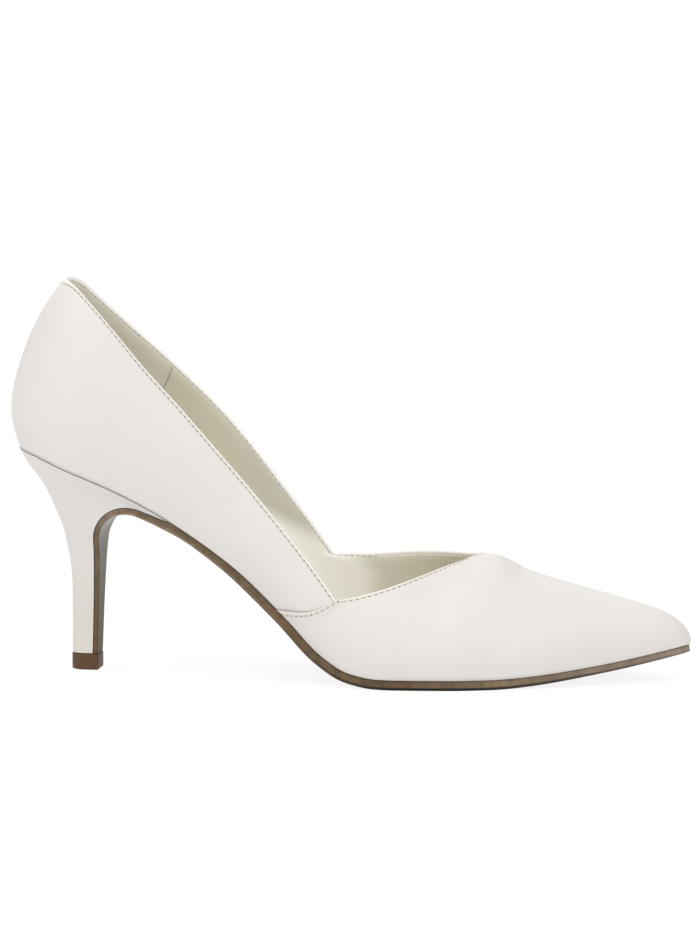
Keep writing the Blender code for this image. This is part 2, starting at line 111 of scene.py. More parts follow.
# Side view: height of the last above the feather edge, before the toe closes it, as (x, height)
ARCH_LINE = [
    (HEEL_CENTRE_X, 76.2), (-80.0, 73.8), (-60.0, 69.2), (-40.0, 68.0), (-20.0, 67.5), (0.0, 62.5),
    (20.0, 53.2), (31.0, 46.6), (36.0, 44.3), (40.0, 42.8), (44.0, 41.6), (THROAT_X, 40.8), (51.0, 40.4),
    (54.0, 39.8), (57.1, 38.3), (60.0, 36.6), (NOSE_X, 34.8), (80.0, 30.8), (100.0, 28.3), (TOE_X, 27.4),
]

# Side view: topline of each quarter from the back seam to the corner of the cut-out, as (x, z)
QUARTER_LINE = {
    OUTER: [(-102.5, 142.9), (-100.0, 142.1), (-97.2, 140.7), (-93.7, 138.0), (-87.3, 131.9), (-79.1, 122.9),
            (-71.7, 114.4), (-57.4, 98.8), (-42.9, 82.7), (-28.3, 66.4), (-17.2, 53.4), (-5.4, 39.1),
            (CORNER_TOP_X[OUTER], 31.8)],
    INNER: [(-102.5, 142.9), (-100.0, 140.8), (-96.8, 136.8), (-91.7, 131.3), (-84.8, 124.8), (-73.8, 115.1),
            (-62.6, 105.1), (-51.4, 94.5), (-40.3, 82.1), (-29.4, 67.9), (-18.6, 53.1),
            (CORNER_TOP_X[INNER], 39.6)],
}

# Side view: edge of the vamp from the corner of the cut-out to the throat, as (x, z)
VAMP_LINE = {
    OUTER: [(CORNER_TOP_X[OUTER], 31.8), (8.1, 33.7), (15.6, 35.8), (25.7, 39.1), (32.2, 41.2), (36.9, 42.7),
            (40.0, 43.5), (43.1, 44.2), (45.4, 44.6), (THROAT_X, 44.5)],
    INNER: [(CORNER_TOP_X[INNER], 39.6), (2.8, 40.0), (14.1, 40.95), (29.6, 42.25), (36.4, 42.6),
            (41.3, 42.75), (45.0, 43.0), (THROAT_X, 44.5)],
}

# Sections of the last: half widths at the feather edge, rise of the arch, swell of the wall and its lean
SECTION_COLUMNS = ("station", "axis", "outer", "inner", "rise", "bulge", "belly", "round", "lean")
SECTIONS = [
    (-96.0, 0.0, 24.6, 24.6, 0.0, 4.8, 0.28, 2.0, 12.0),
    (-80.0, 0.0, 24.0, 23.8, 0.0, 5.2, 0.30, 2.0, 10.5),
    (-60.0, 0.0, 22.6, 21.6, 0.6, 5.6, 0.30, 2.0, 7.0),
    (-40.0, 0.0, 22.8, 19.6, 3.0, 5.8, 0.29, 2.0, 3.0),
    (-20.0, 0.0, 26.2, 21.8, 2.6, 5.4, 0.25, 2.0, 0.0),
    (0.0, 0.0, 32.0, 29.4, 0.8, 4.4, 0.21, 2.0, 0.0),
    (20.0, 0.5, 36.0, 35.2, 0.0, 3.4, 0.19, 1.9, 0.0),
    (40.0, 1.4, 35.2, 36.2, 0.0, 2.8, 0.20, 1.8, 0.0),
    (60.0, 2.4, 30.6, 32.2, 0.0, 2.4, 0.22, 1.8, 0.0),
    (80.0, 3.2, 26.4, 27.4, 0.0, 2.2, 0.24, 1.9, 0.0),
    (100.0, 4.0, 21.8, 22.2, 0.0, 2.0, 0.26, 2.0, 0.0),
    (TOE_X, 4.6, 17.3, 17.3, 0.0, 2.0, 0.28, 2.0, 0.0),
]

# Depth of the lasting margin, outsole, its flap and the joint of heel and outsole
FLANGE_DEPTH = [(80.0, 9.0), (TOE_X, 4.0)]
SOLE_THICKNESS = [
    (-63.0, 2.6), (-45.0, 3.0), (-30.0, 3.4), (54.0, 3.4), (92.0, 2.7), (TOE_X, 2.4),
]
SOLE_END_AHEAD = 5.0
SOLE_EASE = 9.0
BRIDGE_STEPS = 6
BRIDGE_GAP = 0.3
HOOK_TIP_X = -63.0
HOOK_CENTRE = (-77.9, 47.1)
HOOK_RADIUS = 14.3
HOOK_SLOPE = 19.9
BREAST_LEAN = 1.8
HOOK_STEPS = {"line": 16, "arc": 30, "breast": 40}
HOOK_WIDTH = [
    (0.0, 22.3), (0.19, 20.2), (0.3, 17.2), (0.415, 12.5), (0.47, 9.8), (0.53, 7.9), (0.65, 6.4), (0.8, 5.4),
    (1.0, 5.0),
]
FLAP_THICKNESS = [(0.0, 2.5), (0.3, 2.1), (0.6, 1.8), (1.0, 1.6)]

# Heel cover and its wearing piece
HEEL_UP_SHARE = {"breast": 0.57, "arc": 0.85, "tip": 0.985}
HEEL_PROUD = 0.5
HEEL_BACK_X = -101.8
HEEL_STRAIGHT = 0.33
HEEL_SWEEP = [
    (0.0, 0.0), (0.11, 0.02), (0.25, 0.072), (0.4, 0.16), (0.51, 0.272), (0.63, 0.418), (0.75, 0.596),
    (0.86, 0.802), (1.0, 1.0),
]
HEEL_TIP_HALF_WIDTH = 5.0
HEEL_ROUND_SHARE = 0.55
TOP_PIECE_HEIGHT = 5.8
TOP_PIECE_PROUD = 0.2
HEEL_FOOT_Z = TOP_PIECE_HEIGHT + GAP

# Sewing: folded rim, stitch rows, dark blobs of painted shade at the needle holes, and the lapped edge of the
# vamp
RIM_RADIUS = 0.7
RIM_PARED = 0.45
RIM_FADE = 6.0
BACK_ROUND = 0.9
BACK_ROUND_REACH = 14.0
BACK_ROW_LOWER = 0.9
PARED_REACH = 5.0
ONTO_VAMP = 4.0
STITCH_BELOW_RIM = {"quarter": 0.4, "vamp": 0.8}
INSIDE_ROW = {"quarter": 0.42, "vamp": 0.3}
INSIDE_ROW_REACH = 16.0
ROW_FROM_BACK = 12.0
ROW_BEFORE_THROAT = 3.5
SEAM_ROW = 1.75
SEAM_ROW_START = 2.6
GROOVE_DEPTH = 0.14
GROOVE_WIDTH = 0.42
LAP_ROUND = 0.3
LAP_FLAT = 1.5
LAP_FADE = 5.5
LAP_LEVEL = 5.0
STITCH_PITCH = 2.2
STITCH_SIZE = (1.5, 0.42, 0.34)
HOLE_SHADE_SIZE = (0.75, 0.42, 0.3)

# Marks that colour the upper's leather: their reach and strength, the painted light on the inside of the rim,
# and the painted shadow line at the lap's step
EDGE_BAND = 0.6
LAP_BAND = 0.8
LAP_EDGE_TONE = 0.4
LIP_PAINTED_LIGHT = {"quarter": 1.0, "vamp": 0.4}
LAP_SHADOW_WIDTH = 0.4
LAP_SHADOW_FADE = 10.0

# Lining: how far below the rim it starts, its thickness, and the stations of its own seams
LINING_BELOW_RIM = {"quarter": 0.75, "vamp": 0.4}
LINING_GAP = 0.03
LINING_THICKNESS = {"heel": 0.6, "front": 0.42}
LINING_SEAM_STATION = -76.2
LINING_TOE_WAY = 2.85
LINING_SEAM_GAP = 0.00045
LINING_THROAT = 2.5

# Crown of the sock, and roundings as (width, least angle of the edge, segments)
SOCK_CROWN = 0.15
SOCK_CROWN_POWER = 8
ROUNDING = {
    "sock": (0.3, 60.0, 3), "brown_outsole": (0.35, 40.0, 3), "heel_cover": (0.3, 50.0, 3),
    "top_piece_lift": (0.45, 40.0, 4),
}

# Mesh steps of the fine pieces
QUARTER_STEPS = 120
VAMP_STEPS = 56
TOE_STEPS = 64
WALL_ROWS = 34
RIM_STEPS = 8
NEAR_RIM = np.array([0.0, 0.15, 0.3, 0.45, 0.6, 0.8, 1.1, 1.5, 2.1, 3.0, 4.2])
NEAR_RIM_SHARE = 0.3
INSIDE_ROWS = np.concatenate([NEAR_RIM[:8:2], np.linspace(6.0, 60.0, 14)])
BEFORE_SEAM = np.array([0.5, 0.25])
SEAM_OFFSETS = np.array([
    0.0, 0.04, 0.1, 0.18, 0.3, 0.5, 0.75, 1.0, 1.25, 1.5, 1.75, 2.0, 2.3, 2.7, 3.3, 4.2, 5.5,
])
SEAM_MIDDLE = np.array([0.45, 0.5, 0.55])
RIB_SAMPLES = 161
LINING_ROWS = 26
LINING_ROW_POWER = 1.5
LINING_STEPS = {"heel": 70, "quarter": 70, "vamp": 70, "toe": 50}
SOLE_STEPS = 160
SOLE_ACROSS = 33
HEEL_STEPS_ROUND = 44
ROW_STEP = 0.4
ROW_SPREAD = 0.3
SEAM_ROW_STEPS = 60
STITCH_SIDES = {"Segments": 8, "Rings": 6}
BISECTIONS = 40

# Leathers: light and dark tone, roughness, grain cells per metre, bump and coat
WHITE_GRAIN = {"rough": (0.40, 0.52), "cell": 1100.0, "bump": 0.10, "coat": 0.05}
LEATHERS = {
    "white_leather": {"light": (0.725, 0.695, 0.665), "dark": (0.685, 0.65, 0.62), **WHITE_GRAIN},
    "heel_leather": {"light": (0.715, 0.685, 0.665), "dark": (0.68, 0.645, 0.625), **WHITE_GRAIN},
    "heel_lining_leather": {"light": (0.70, 0.67, 0.56), "dark": (0.65, 0.62, 0.515), "rough": (0.62, 0.75),
                            "cell": 1500.0, "bump": 0.2},
    "front_lining_leather": {"light": (0.69, 0.66, 0.545), "dark": (0.65, 0.62, 0.505), "rough": (0.6, 0.7),
                             "cell": 1300.0, "bump": 0.15},
    "sock_leather": {"light": (0.74, 0.70, 0.58), "dark": (0.69, 0.65, 0.53), "rough": (0.55, 0.68),
                     "cell": 1200.0, "bump": 0.15},
}

# Painted light and shade that come in along a direction between two places in metres, as (colour, direction,
# start, end)
TONES = {
    # painted shade: darker and yellower towards the foot of the heel
    "heel_leather": [((0.62, 0.592, 0.54), (0.0, 0.0, 1.0), 0.07, 0.005)],
    "front_lining_leather": [
        # painted shade: a darker khaki towards the front of the lining
        ((0.60, 0.575, 0.48), (1.0, 0.0, 0.0), -0.052, -0.034),
        # painted light: pale low down in front, where light falls in through the cut-out
        ((0.95, 0.93, 0.865), (0.5, 0.0, 1.0), 0.0425, 0.034),
        # painted shade: a darker taupe where the far wall turns towards the vamp
        ((0.74, 0.70, 0.60), (1.0, 0.0, 0.0), -0.002, 0.010),
    ],
}

# Colours of the upper's marks: a cream edge, painted light on the inside of the rim, painted shade in the
# stitch grooves and a painted shadow line at the lap's step
MARKS = {
    "white_leather": [("edge", (0.79, 0.77, 0.71)), ("lip", (0.95, 0.93, 0.90)),
                      ("groove", (0.58, 0.54, 0.48)), ("crease", (0.35, 0.32, 0.29))],
}

# Grain: noise of its pores (detail, roughness), noise of its clouds (scale first), depth and gloss
PORE_NOISE = (2.0, 0.55)
PORE_SHARE = 0.3
PORE_SCALE = 2.3
CLOUD_NOISE = (45.0, 3.0, 0.5)
LEATHER_BUMP_DEPTH = 0.0002
COAT_ROUGHNESS = 0.3
LEATHER_GLOSS = 0.4
DULL_GLOSS = 0.25

# Speckled materials: light and dark tone, roughness, speckles per metre and bump
FLECKS = {
    "wearing_piece": ((0.12, 0.062, 0.028), (0.07, 0.036, 0.016), (0.45, 0.6), 900.0, 0.2),
    "thread": ((0.72, 0.68, 0.58), (0.60, 0.56, 0.46), (0.6, 0.75), 2500.0, 0.3),
    # painted shade: a dark tone for the blobs that stand for the shade in the needle holes
    "needle_hole_shade": ((0.21, 0.18, 0.15), (0.13, 0.11, 0.09), (0.8, 0.9), 2500.0, 0.1),
}
FLECK_NOISE = (3.0, 0.6)
FLECK_BUMP_DEPTH = 0.0001

# Brown sole from toe (0) to foot of the flap (1): colour, its shares in bottom and top line, roughness; the
# low bottom shares at the tread are painted contact shadow, top shares below 1 are painted shade under the
# upper, and the lighter, greyer rows at the hook's arc are painted sheen
SOLE_TONES = [
    (0.0, (0.262, 0.212, 0.162), 0.7, 0.95, 0.33), (0.137, (0.215, 0.162, 0.115), 0.25, 1.05, 0.33),
    (0.261, (0.168, 0.122, 0.071), 0.04, 0.9, 0.33), (0.36, (0.120, 0.069, 0.035), 0.04, 0.8, 0.33),
    (0.436, (0.116, 0.079, 0.044), 0.45, 0.85, 0.33), (0.534, (0.125, 0.083, 0.047), 1.2, 0.8, 0.33),
    (0.70, (0.130, 0.092, 0.053), 1.7, 0.82, 0.3), (0.77, (0.155, 0.12, 0.08), 1.5, 1.1, 0.27),
    (0.805, (0.20, 0.155, 0.115), 1.2, 1.2, 0.25), (0.84, (0.115, 0.083, 0.052), 0.9, 0.8, 0.34),
    (0.92, (0.136, 0.093, 0.05), 0.8, 0.8, 0.48), (1.0, (0.115, 0.062, 0.024), 0.6, 0.8, 0.55),
]
SOLE_FACE = (0.75, 0.75, 0.78)
SOLE_WARM_TONE = (0.20, 0.105, 0.042)

# Where bottom line, top line and lower face begin, by the sole's level, and warm spots, by their noise; the
# bottom line is painted contact shadow where it is dark at the tread, the top line painted shade under the
# upper
BOTTOM_LINE = (0.4, 0.2)
TOP_LINE = (0.7, 0.95)
LOWER_FACE = (-0.05, -0.4)
WARM_SPOTS = (0.45, 0.7, 0.4)

# Noises of the sole as (scale, detail, roughness), the shares of streaks and mottle, and what they do
WARM_NOISE = (55.0, 2.0, 0.5)
STREAK_NOISE = (1.0, 4.0, 0.6)
STREAK_STRETCH = (30.0, 30.0, 700.0)
MOTTLE_NOISE = (280.0, 3.0, 0.6)
STREAK_SHARE, MOTTLE_SHARE = 0.35, 0.65
SOLE_SHADES = (0.1, 1.9)
SOLE_ROUGH_SPREAD = (-0.06, 0.06)
SOLE_BUMP = 0.2

# Soft suns: name, azimuth, elevation, angle and strength
SUNS = [
    ("key_light", -30.0, 50.0, 70.0, 0.95), ("fill_light", 15.0, 25.0, 40.0, 0.3),
    ("top_light", 30.0, 78.0, 90.0, 0.75), ("back_light", 200.0, 35.0, 60.0, 0.5),
]


def smooth(rows, x):
    """Curve through rows of (x, value), with no overshoot between them."""
    xs, ys = np.array(rows, float).T
    step = np.diff(xs)
    slope = np.diff(ys) / step
    same_way = slope[1:] * slope[:-1] > 0
    front, rear = np.where(same_way, slope[1:], 1.0), np.where(same_way, slope[:-1], 1.0)
    ahead, behind = step[1:] + 2 * step[:-1], 2 * step[1:] + step[:-1]
    mean = (ahead + behind) / (behind / rear + ahead / front)
    tangent = np.concatenate([slope[:1], np.where(same_way, mean, 0.0), slope[-1:]])
    x = np.clip(x, xs[0], xs[-1])
    k = np.clip(np.searchsorted(xs, x) - 1, 0, len(step) - 1)
    t = (x - xs[k]) / step[k]
    ease = t * t * (3 - 2 * t)
    bend = step[k] * (t * (1 - t) ** 2 * tangent[k] - t * t * (1 - t) * tangent[k + 1])
    return ys[k] * (1 - ease) + ys[k + 1] * ease + bend


def section(column, x):
    """One column of the section table, between its rows."""
    place = SECTION_COLUMNS.index(column)
    return smooth([(row[0], row[place]) for row in SECTIONS], x)


def half_width(side, x):
    """Width of the last from its axis to one side, at the feather edge."""
    return section("inner" if side == INNER else "outer", x)


def underside(x, y):
    """Height of the last's underside, which rises to the inner side at the arch."""
    inward = np.clip((y - section("axis", x)) / section("inner", x), 0.0, 1.0)
    return smooth(FEATHER_LINE, x) + section("rise", x) * inward ** 2


def slant(x):
    """How much longer a thickness is when it is measured upright on the sloping feather line."""
    slope = (smooth(FEATHER_LINE, x + SLOPE_REACH) - smooth(FEATHER_LINE, x - SLOPE_REACH)) / (2 * SLOPE_REACH)
    return np.sqrt(1 + slope ** 2)


def swell(t, width, bulge, belly, roundness):
    """Half width at share t of the height: swelling to the belly, then closing to the ridge."""
    low = width + bulge * (1 - (1 - np.minimum(t / belly, 1.0)) ** 2)
    above = np.clip((t - belly) / (1 - belly), 0.0, 1.0)
    return low * np.sqrt(1 - above ** roundness)


def nose(x, length=NOSE_LENGTH):
    """Share of the way into the toe, and how much of the width and height is left there."""
    share = np.clip((x - NOSE_X) / length, 0.0, 1.0)
    return share, np.sqrt(1 - share ** NOSE_POWER)


def arch_height(station, inset=0.0):
    """Height from the feather edge to the top of the last, or of the room left by a wall inside it."""
    _, left = nose(station)
    return inset + (smooth(ARCH_LINE, station) - 2 * inset) * left


def wall_point(side, station, height, inset=0.0):
    """Point of the upper's wall at a station along the foot and a height above the feather edge."""
    x = np.maximum(station, HEEL_CENTRE_X)
    share, left = nose(station)
    turn = np.clip((HEEL_CENTRE_X - station) / HEEL_ARC, 0.0, 1.0) * np.pi / 2
    t = height / np.maximum(arch_height(station, inset), MERGE)
    belly, roundness = section("belly", x), section("round", x)
    across = swell(t, (half_width(side, x) - inset) * left, section("bulge", x) * left, belly, roundness)
    behind = swell(t, BACK_RADIUS - inset, BACK_BULGE, belly, roundness)
    foot_x = x - (BACK_RADIUS - inset) * np.sin(turn)
    foot_y = section("axis", x) + side * half_width(side, x) * left * np.cos(turn)
    lean = np.radians(section("lean", x))
    return np.stack([
        np.where(share > 0, NOSE_X + share * (NOSE_LENGTH - inset), x - behind * np.sin(turn))
        + height * np.sin(lean),
        section("axis", x) + side * across * np.cos(turn),
        underside(foot_x, foot_y) + height * np.cos(lean),
    ], axis=-1)


def bowed(share):
    """Share of a rib's slant that is reached at a share of its height."""
    return share + RIB_BOW * share * (1 - share)


def top_height(side, station):
    """Height above the feather edge of the topline, or of the ridge in front of the throat."""
    on_quarter = station < CORNER_TOP_X[side]
    low = np.zeros_like(station)
    high = arch_height(station)
    for _ in range(BISECTIONS):
        middle = (low + high) / 2
        point = wall_point(side, station, middle)
        quarter, vamp = (smooth(rows[side], point[..., 0]) for rows in (QUARTER_LINE, VAMP_LINE))
        above = point[..., 2] > np.where(on_quarter, quarter, vamp)
        low, high = np.where(above, low, middle), np.where(above, middle, high)
    return np.where(station >= THROAT_X, arch_height(station), low)


def unit(vectors):
    """Vectors of length one, with the zero ones left alone."""
    size = np.linalg.norm(vectors, axis=-1, keepdims=True)
    return vectors / np.maximum(size, MERGE)


def run_length(points):
    """Length along a line of points, or along each line of a grid, up to every point."""
    steps = np.linalg.norm(np.diff(points, axis=-2), axis=-1)
    return np.concatenate([np.zeros_like(steps[..., :1]), np.cumsum(steps, axis=-1)], axis=-1)


def soft_share(share):
    """Share from 0 to 1 that starts and ends softly."""
    share = np.clip(share, 0.0, 1.0)
    return share * share * (3 - 2 * share)


def closing_steps(count):
    """A count of shares from 0 to 1, in steps that get shorter."""
    return np.sin(np.linspace(0.0, np.pi / 2, count))


def closing_share(station, tall):
    """How far a wall has closed to the ridge at its top: 0 below the belly, 1 at the ridge."""
    belly = section("belly", station)
    return np.clip((tall / np.maximum(arch_height(station), MERGE) - belly) / (1 - belly), 0.0, 1.0)


class Ribs:
    """Ribs of one side of the upper. Ways run to 1 on the quarter, 2 on the vamp's edge and 3 on the toe."""

    def __init__(self, side, ways):
        self.side = side
        corner = CORNER_TOP_X[side]
        self.top = np.interp(ways, range(4), (BACK_STATION, corner, THROAT_X, TOE_X))
        self.base = np.interp(ways, range(4), (BACK_STATION, CORNER_BASE_X[side], THROAT_X, TOE_X))
        self.past_seam = np.where(ways > 1, (self.top - corner) * self.seam_slant(side), -1.0)
        self.seam_column = int(np.searchsorted(ways, 1.0, "right"))
        self.throat_column = int(np.searchsorted(ways, 2.0))
        self.tall = top_height(side, self.top)
        if ways[0] == 0:
            self.tall[0] = top_height(OUTER, self.top[:1])[0]
        self.closing = closing_share(self.top, self.tall)
        self.behind = np.exp(-((self.top - BACK_STATION) / BACK_ROUND_REACH) ** 2)

    @staticmethod
    def seam_slant(side):
        """Distance square to the seam for a millimetre of station, halfway up the seam."""
        top, base = CORNER_TOP_X[side], CORNER_BASE_X[side]
        tall = top_height(side, np.array([top - MERGE]))[0]
        line = wall_point(side, base + (top - base) * bowed(SEAM_MIDDLE), tall * SEAM_MIDDLE)
        stretch = (THROAT_X - base) / (THROAT_X - top)
        beside = wall_point(side, base + (top - base) * bowed(0.5) + (1 + stretch) / 2, tall / 2)
        along = unit(line[2] - line[0])
        off = beside - line[1]
        return np.linalg.norm(off - along * (off @ along))

    def at(self, below, inset=0.0, low=0.0, room=None):
        """Points at distances below the top of each rib, measured along it, and these distances.

        The distances have a row for each rib, or are worked out from the lengths of the ribs.
        """
        low = (np.zeros_like(self.top) + low)[:, None]
        high = (self.tall if room is None else room)[:, None]

        def point(share):
            station = self.base[:, None] + (self.top - self.base)[:, None] * bowed(share)
            return wall_point(self.side, station, low + (high - low) * share, inset)

        rise = closing_steps(RIB_SAMPLES)
        length = run_length(point(rise))
        total = length[:, -1]
        below = below(total) if callable(below) else below
        want = np.maximum(total[:, None] - below, 0.0)
        return point(np.stack([np.interp(*rib, rise) for rib in zip(want, length)])), below

    def room(self, inset):
        """Height of the inside's top below the topline, or below the ridge in front of the throat."""
        return np.where(self.top >= THROAT_X, arch_height(self.top, inset), self.tall - inset * self.closing)

    def floor(self, inset):
        """Height of the inside above the feather edge, on the lasting margin."""
        return np.minimum(WALL * slant(self.base), arch_height(self.base, inset))

    def rim_fade(self, ahead=0.0):
        """1 along the topline, 0 from the throat on, where the rims of both sides meet."""
        return np.clip((THROAT_X + ahead - self.top) / RIM_FADE, 0.0, 1.0) ** 0.5

    def rim(self):
        """Height of the folded rim, rounder at the back of the heel."""
        return (RIM_RADIUS + BACK_ROUND * self.behind) * self.rim_fade()

    def beside_rim(self, values):
        """Value along the rim, from one on the quarter to another on the vamp."""
        onto_vamp = np.clip(self.past_seam / ONTO_VAMP, 0.0, 1.0)
        return values["quarter"] + (values["vamp"] - values["quarter"]) * onto_vamp

    def pared(self, inside, outside, below):
        """Points of the inside drawn to the outside at the rim, where the leather is thinner."""
        along = np.clip(1 - (self.top - THROAT_X) / PARED_REACH, 0.0, 1.0)[:, None]
        share = RIM_PARED * along * np.clip(1 - below / PARED_REACH, 0.0, 1.0) ** 2
        return inside + (outside - inside) * share[..., None]

    def stitch_depth(self):
        """Distance of the stitch row below the rim, a little more on the vamp than on the quarter."""
        on_quarter = STITCH_BELOW_RIM["quarter"] + BACK_ROW_LOWER * self.behind
        return np.where(self.past_seam > 0, STITCH_BELOW_RIM["vamp"], on_quarter)

    def lap(self):
        """How far the lapped edge of the vamp stands out, rib by rib."""
        past = self.past_seam
        edge = np.sqrt(np.clip(1 - (1 - np.clip(past / LAP_ROUND, 0.0, 1.0)) ** 2, 0.0, 1.0))
        fade = soft_share((past - LAP_FLAT) / (LAP_FADE - LAP_FLAT))
        return np.where(past < 0, 0.0, LAP * edge * (1 - fade))


def upper_ways(side):
    """Ways of the upper's ribs, close together at the seam."""
    slant_share = Ribs.seam_slant(side)
    seam = SEAM_OFFSETS / slant_share / (THROAT_X - CORNER_TOP_X[side])
    quarter = np.linspace(0.0, 1.0, QUARTER_STEPS + 1)
    before = 1 - BEFORE_SEAM / slant_share / (CORNER_TOP_X[side] - BACK_STATION)
    vamp = seam[-1] + (1 - seam[-1]) * closing_steps(VAMP_STEPS + 1)
    toe = closing_steps(TOE_STEPS + 1)
    return np.concatenate([quarter[:-1], before, [1.0], 1 + seam[1:], 1 + vamp[1:], 2 + toe[1:]])


def normals_of(grid, side):
    """Outward directions of a grid of ribs whose rows run down."""
    along, down = np.gradient(grid, axis=0), np.gradient(grid, axis=1)
    normal = unit(np.cross(along, down)) * side
    normal[0, :, 1] = 0.0
    return unit(normal)


def bump_at(distance, place):
    """Soft ridge of height 1 at a place."""
    return np.exp(-((distance - place) / GROOVE_WIDTH) ** 2)


def new_mesh(name, points, faces, attributes=None):
    """Mesh from points in millimetres with named values per point; doubles are merged and faces turned out."""
    mesh = bpy.data.meshes.new(name)
    mesh.from_pydata((np.asarray(points) * MM).tolist(), [], faces)
    for label, values in (attributes or {}).items():
        layer = mesh.attributes.new(label, "FLOAT", "POINT")
        layer.data.foreach_set("value", np.asarray(values, np.float32))
    shape = bmesh.new()
    shape.from_mesh(mesh)
    bmesh.ops.remove_doubles(shape, verts=shape.verts, dist=MERGE)
    bmesh.ops.dissolve_degenerate(shape, edges=shape.edges, dist=MERGE)
    stray = [v for v in shape.verts if not v.link_faces]
    bmesh.ops.delete(shape, geom=stray, context="VERTS")
    bmesh.ops.recalc_face_normals(shape, faces=shape.faces)
    shape.to_mesh(mesh)
    shape.free()
    mesh.shade_smooth()
    return mesh


def add_piece(name, mesh, material, node=None):
    """Piece of the shoe from a mesh, riding on the shoe and standing for a CAD node where one is named."""
    mesh.materials.clear()
    mesh.materials.append(material)
    piece = bpy.data.objects.new(name, mesh)
    bpy.context.scene.collection.objects.link(piece)
    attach(piece, "root")
    if node:
        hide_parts(node)
    if name in ROUNDING:
        round_edges(piece, *ROUNDING[name])


def applied_mesh(piece):
    """Mesh of an object with its modifiers applied."""
    return bpy.data.meshes.new_from_object(piece.evaluated_get(bpy.context.evaluated_depsgraph_get()))


def round_edges(piece, width, angle, segments):
    """Small rounding on the hard edges of a piece, applied to its mesh."""
    bevel = piece.modifiers.new("rounding", "BEVEL")
    bevel.width = width * MM
    bevel.segments = segments
    bevel.limit_method = "ANGLE"
    bevel.angle_limit = np.radians(angle)
    bevel.harden_normals = False
    rounded = applied_mesh(piece)
    piece.modifiers.remove(bevel)
    old = piece.data
    piece.data = rounded
    rounded.name = old.name + "_round"
    bpy.data.meshes.remove(old)
    rounded.shade_smooth()


def indices(grid, start=0):
    """Numbers of a grid's points, counted row by row from a start."""
    rows, columns = grid.shape[:2]
    return start + np.arange(rows * columns).reshape(rows, columns)


def strip(near, far):
    """Quads between two lines of point numbers."""
    return np.stack([near[:-1], near[1:], far[1:], far[:-1]], axis=-1).tolist()


def sheet(index):
    """Quads of a grid of point numbers."""
    return [quad for near, far in zip(index, index[1:]) for quad in strip(near, far)]


def flange_points(side, foot, depth):
    """Points of the lasting margin, turned in from the feather edge by a depth at each rib."""
    along = np.gradient(foot[:, :2], axis=0)
    inward = unit(side * np.stack([along[:, 1], -along[:, 0]], axis=-1))
    inward[0], inward[-1] = (1.0, 0.0), (-1.0, 0.0)
    plan = foot[:, :2] + inward * depth[:, None]
    return np.column_stack([plan, underside(plan[:, 0], plan[:, 1])])


def outside_wall(ribs):
    """Outside of the upper on one side: points, distances below the topline, and the stitch grooves."""
    rim = ribs.rim()[:, None]

    def rows(total):
        near = rim + NEAR_RIM * np.minimum(1.0, NEAR_RIM_SHARE * total / NEAR_RIM[-1])[:, None]
        share = np.linspace(0.0, 1.0, WALL_ROWS + 1)[1:]
        return np.concatenate([near, near[:, -1:] + (total[:, None] - near[:, -1:]) * share], axis=1)

    plain, below = ribs.at(rows)
    normal = normals_of(plain, ribs.side)
    groove = bump_at(below - rim, ribs.stitch_depth()[:, None]) * ribs.rim_fade()[:, None]
    seam_groove = np.where(ribs.past_seam > 0, bump_at(ribs.past_seam, SEAM_ROW), 0.0)
    groove = np.maximum(groove, seam_groove[:, None])
    above_foot = np.clip((below[:, -1:] - below) / LAP_LEVEL, 0.0, 1.0)
    level = normal.copy()
    level[..., 0] *= above_foot
    level[..., 2] *= above_foot
    lapped = unit(level) * ribs.lap()[:, None, None]
    return plain + lapped - normal * (GROOVE_DEPTH * groove)[..., None], below, groove


def inside_wall(ribs):
    """Inside of the upper on one side, pared thinner at the rim."""
    rim = ribs.rim()[:, None]
    share = INSIDE_ROWS / INSIDE_ROWS[-1]

    def rows(total):
        room = total[:, None] - rim
        near = INSIDE_ROWS * np.minimum(1.0, room / INSIDE_ROWS[-1])
        return rim + near * (1 - share) + share * room

    inside, below = ribs.at(rows, WALL, ribs.floor(WALL), ribs.room(WALL))
    return ribs.pared(inside, ribs.at(rows)[0], below)


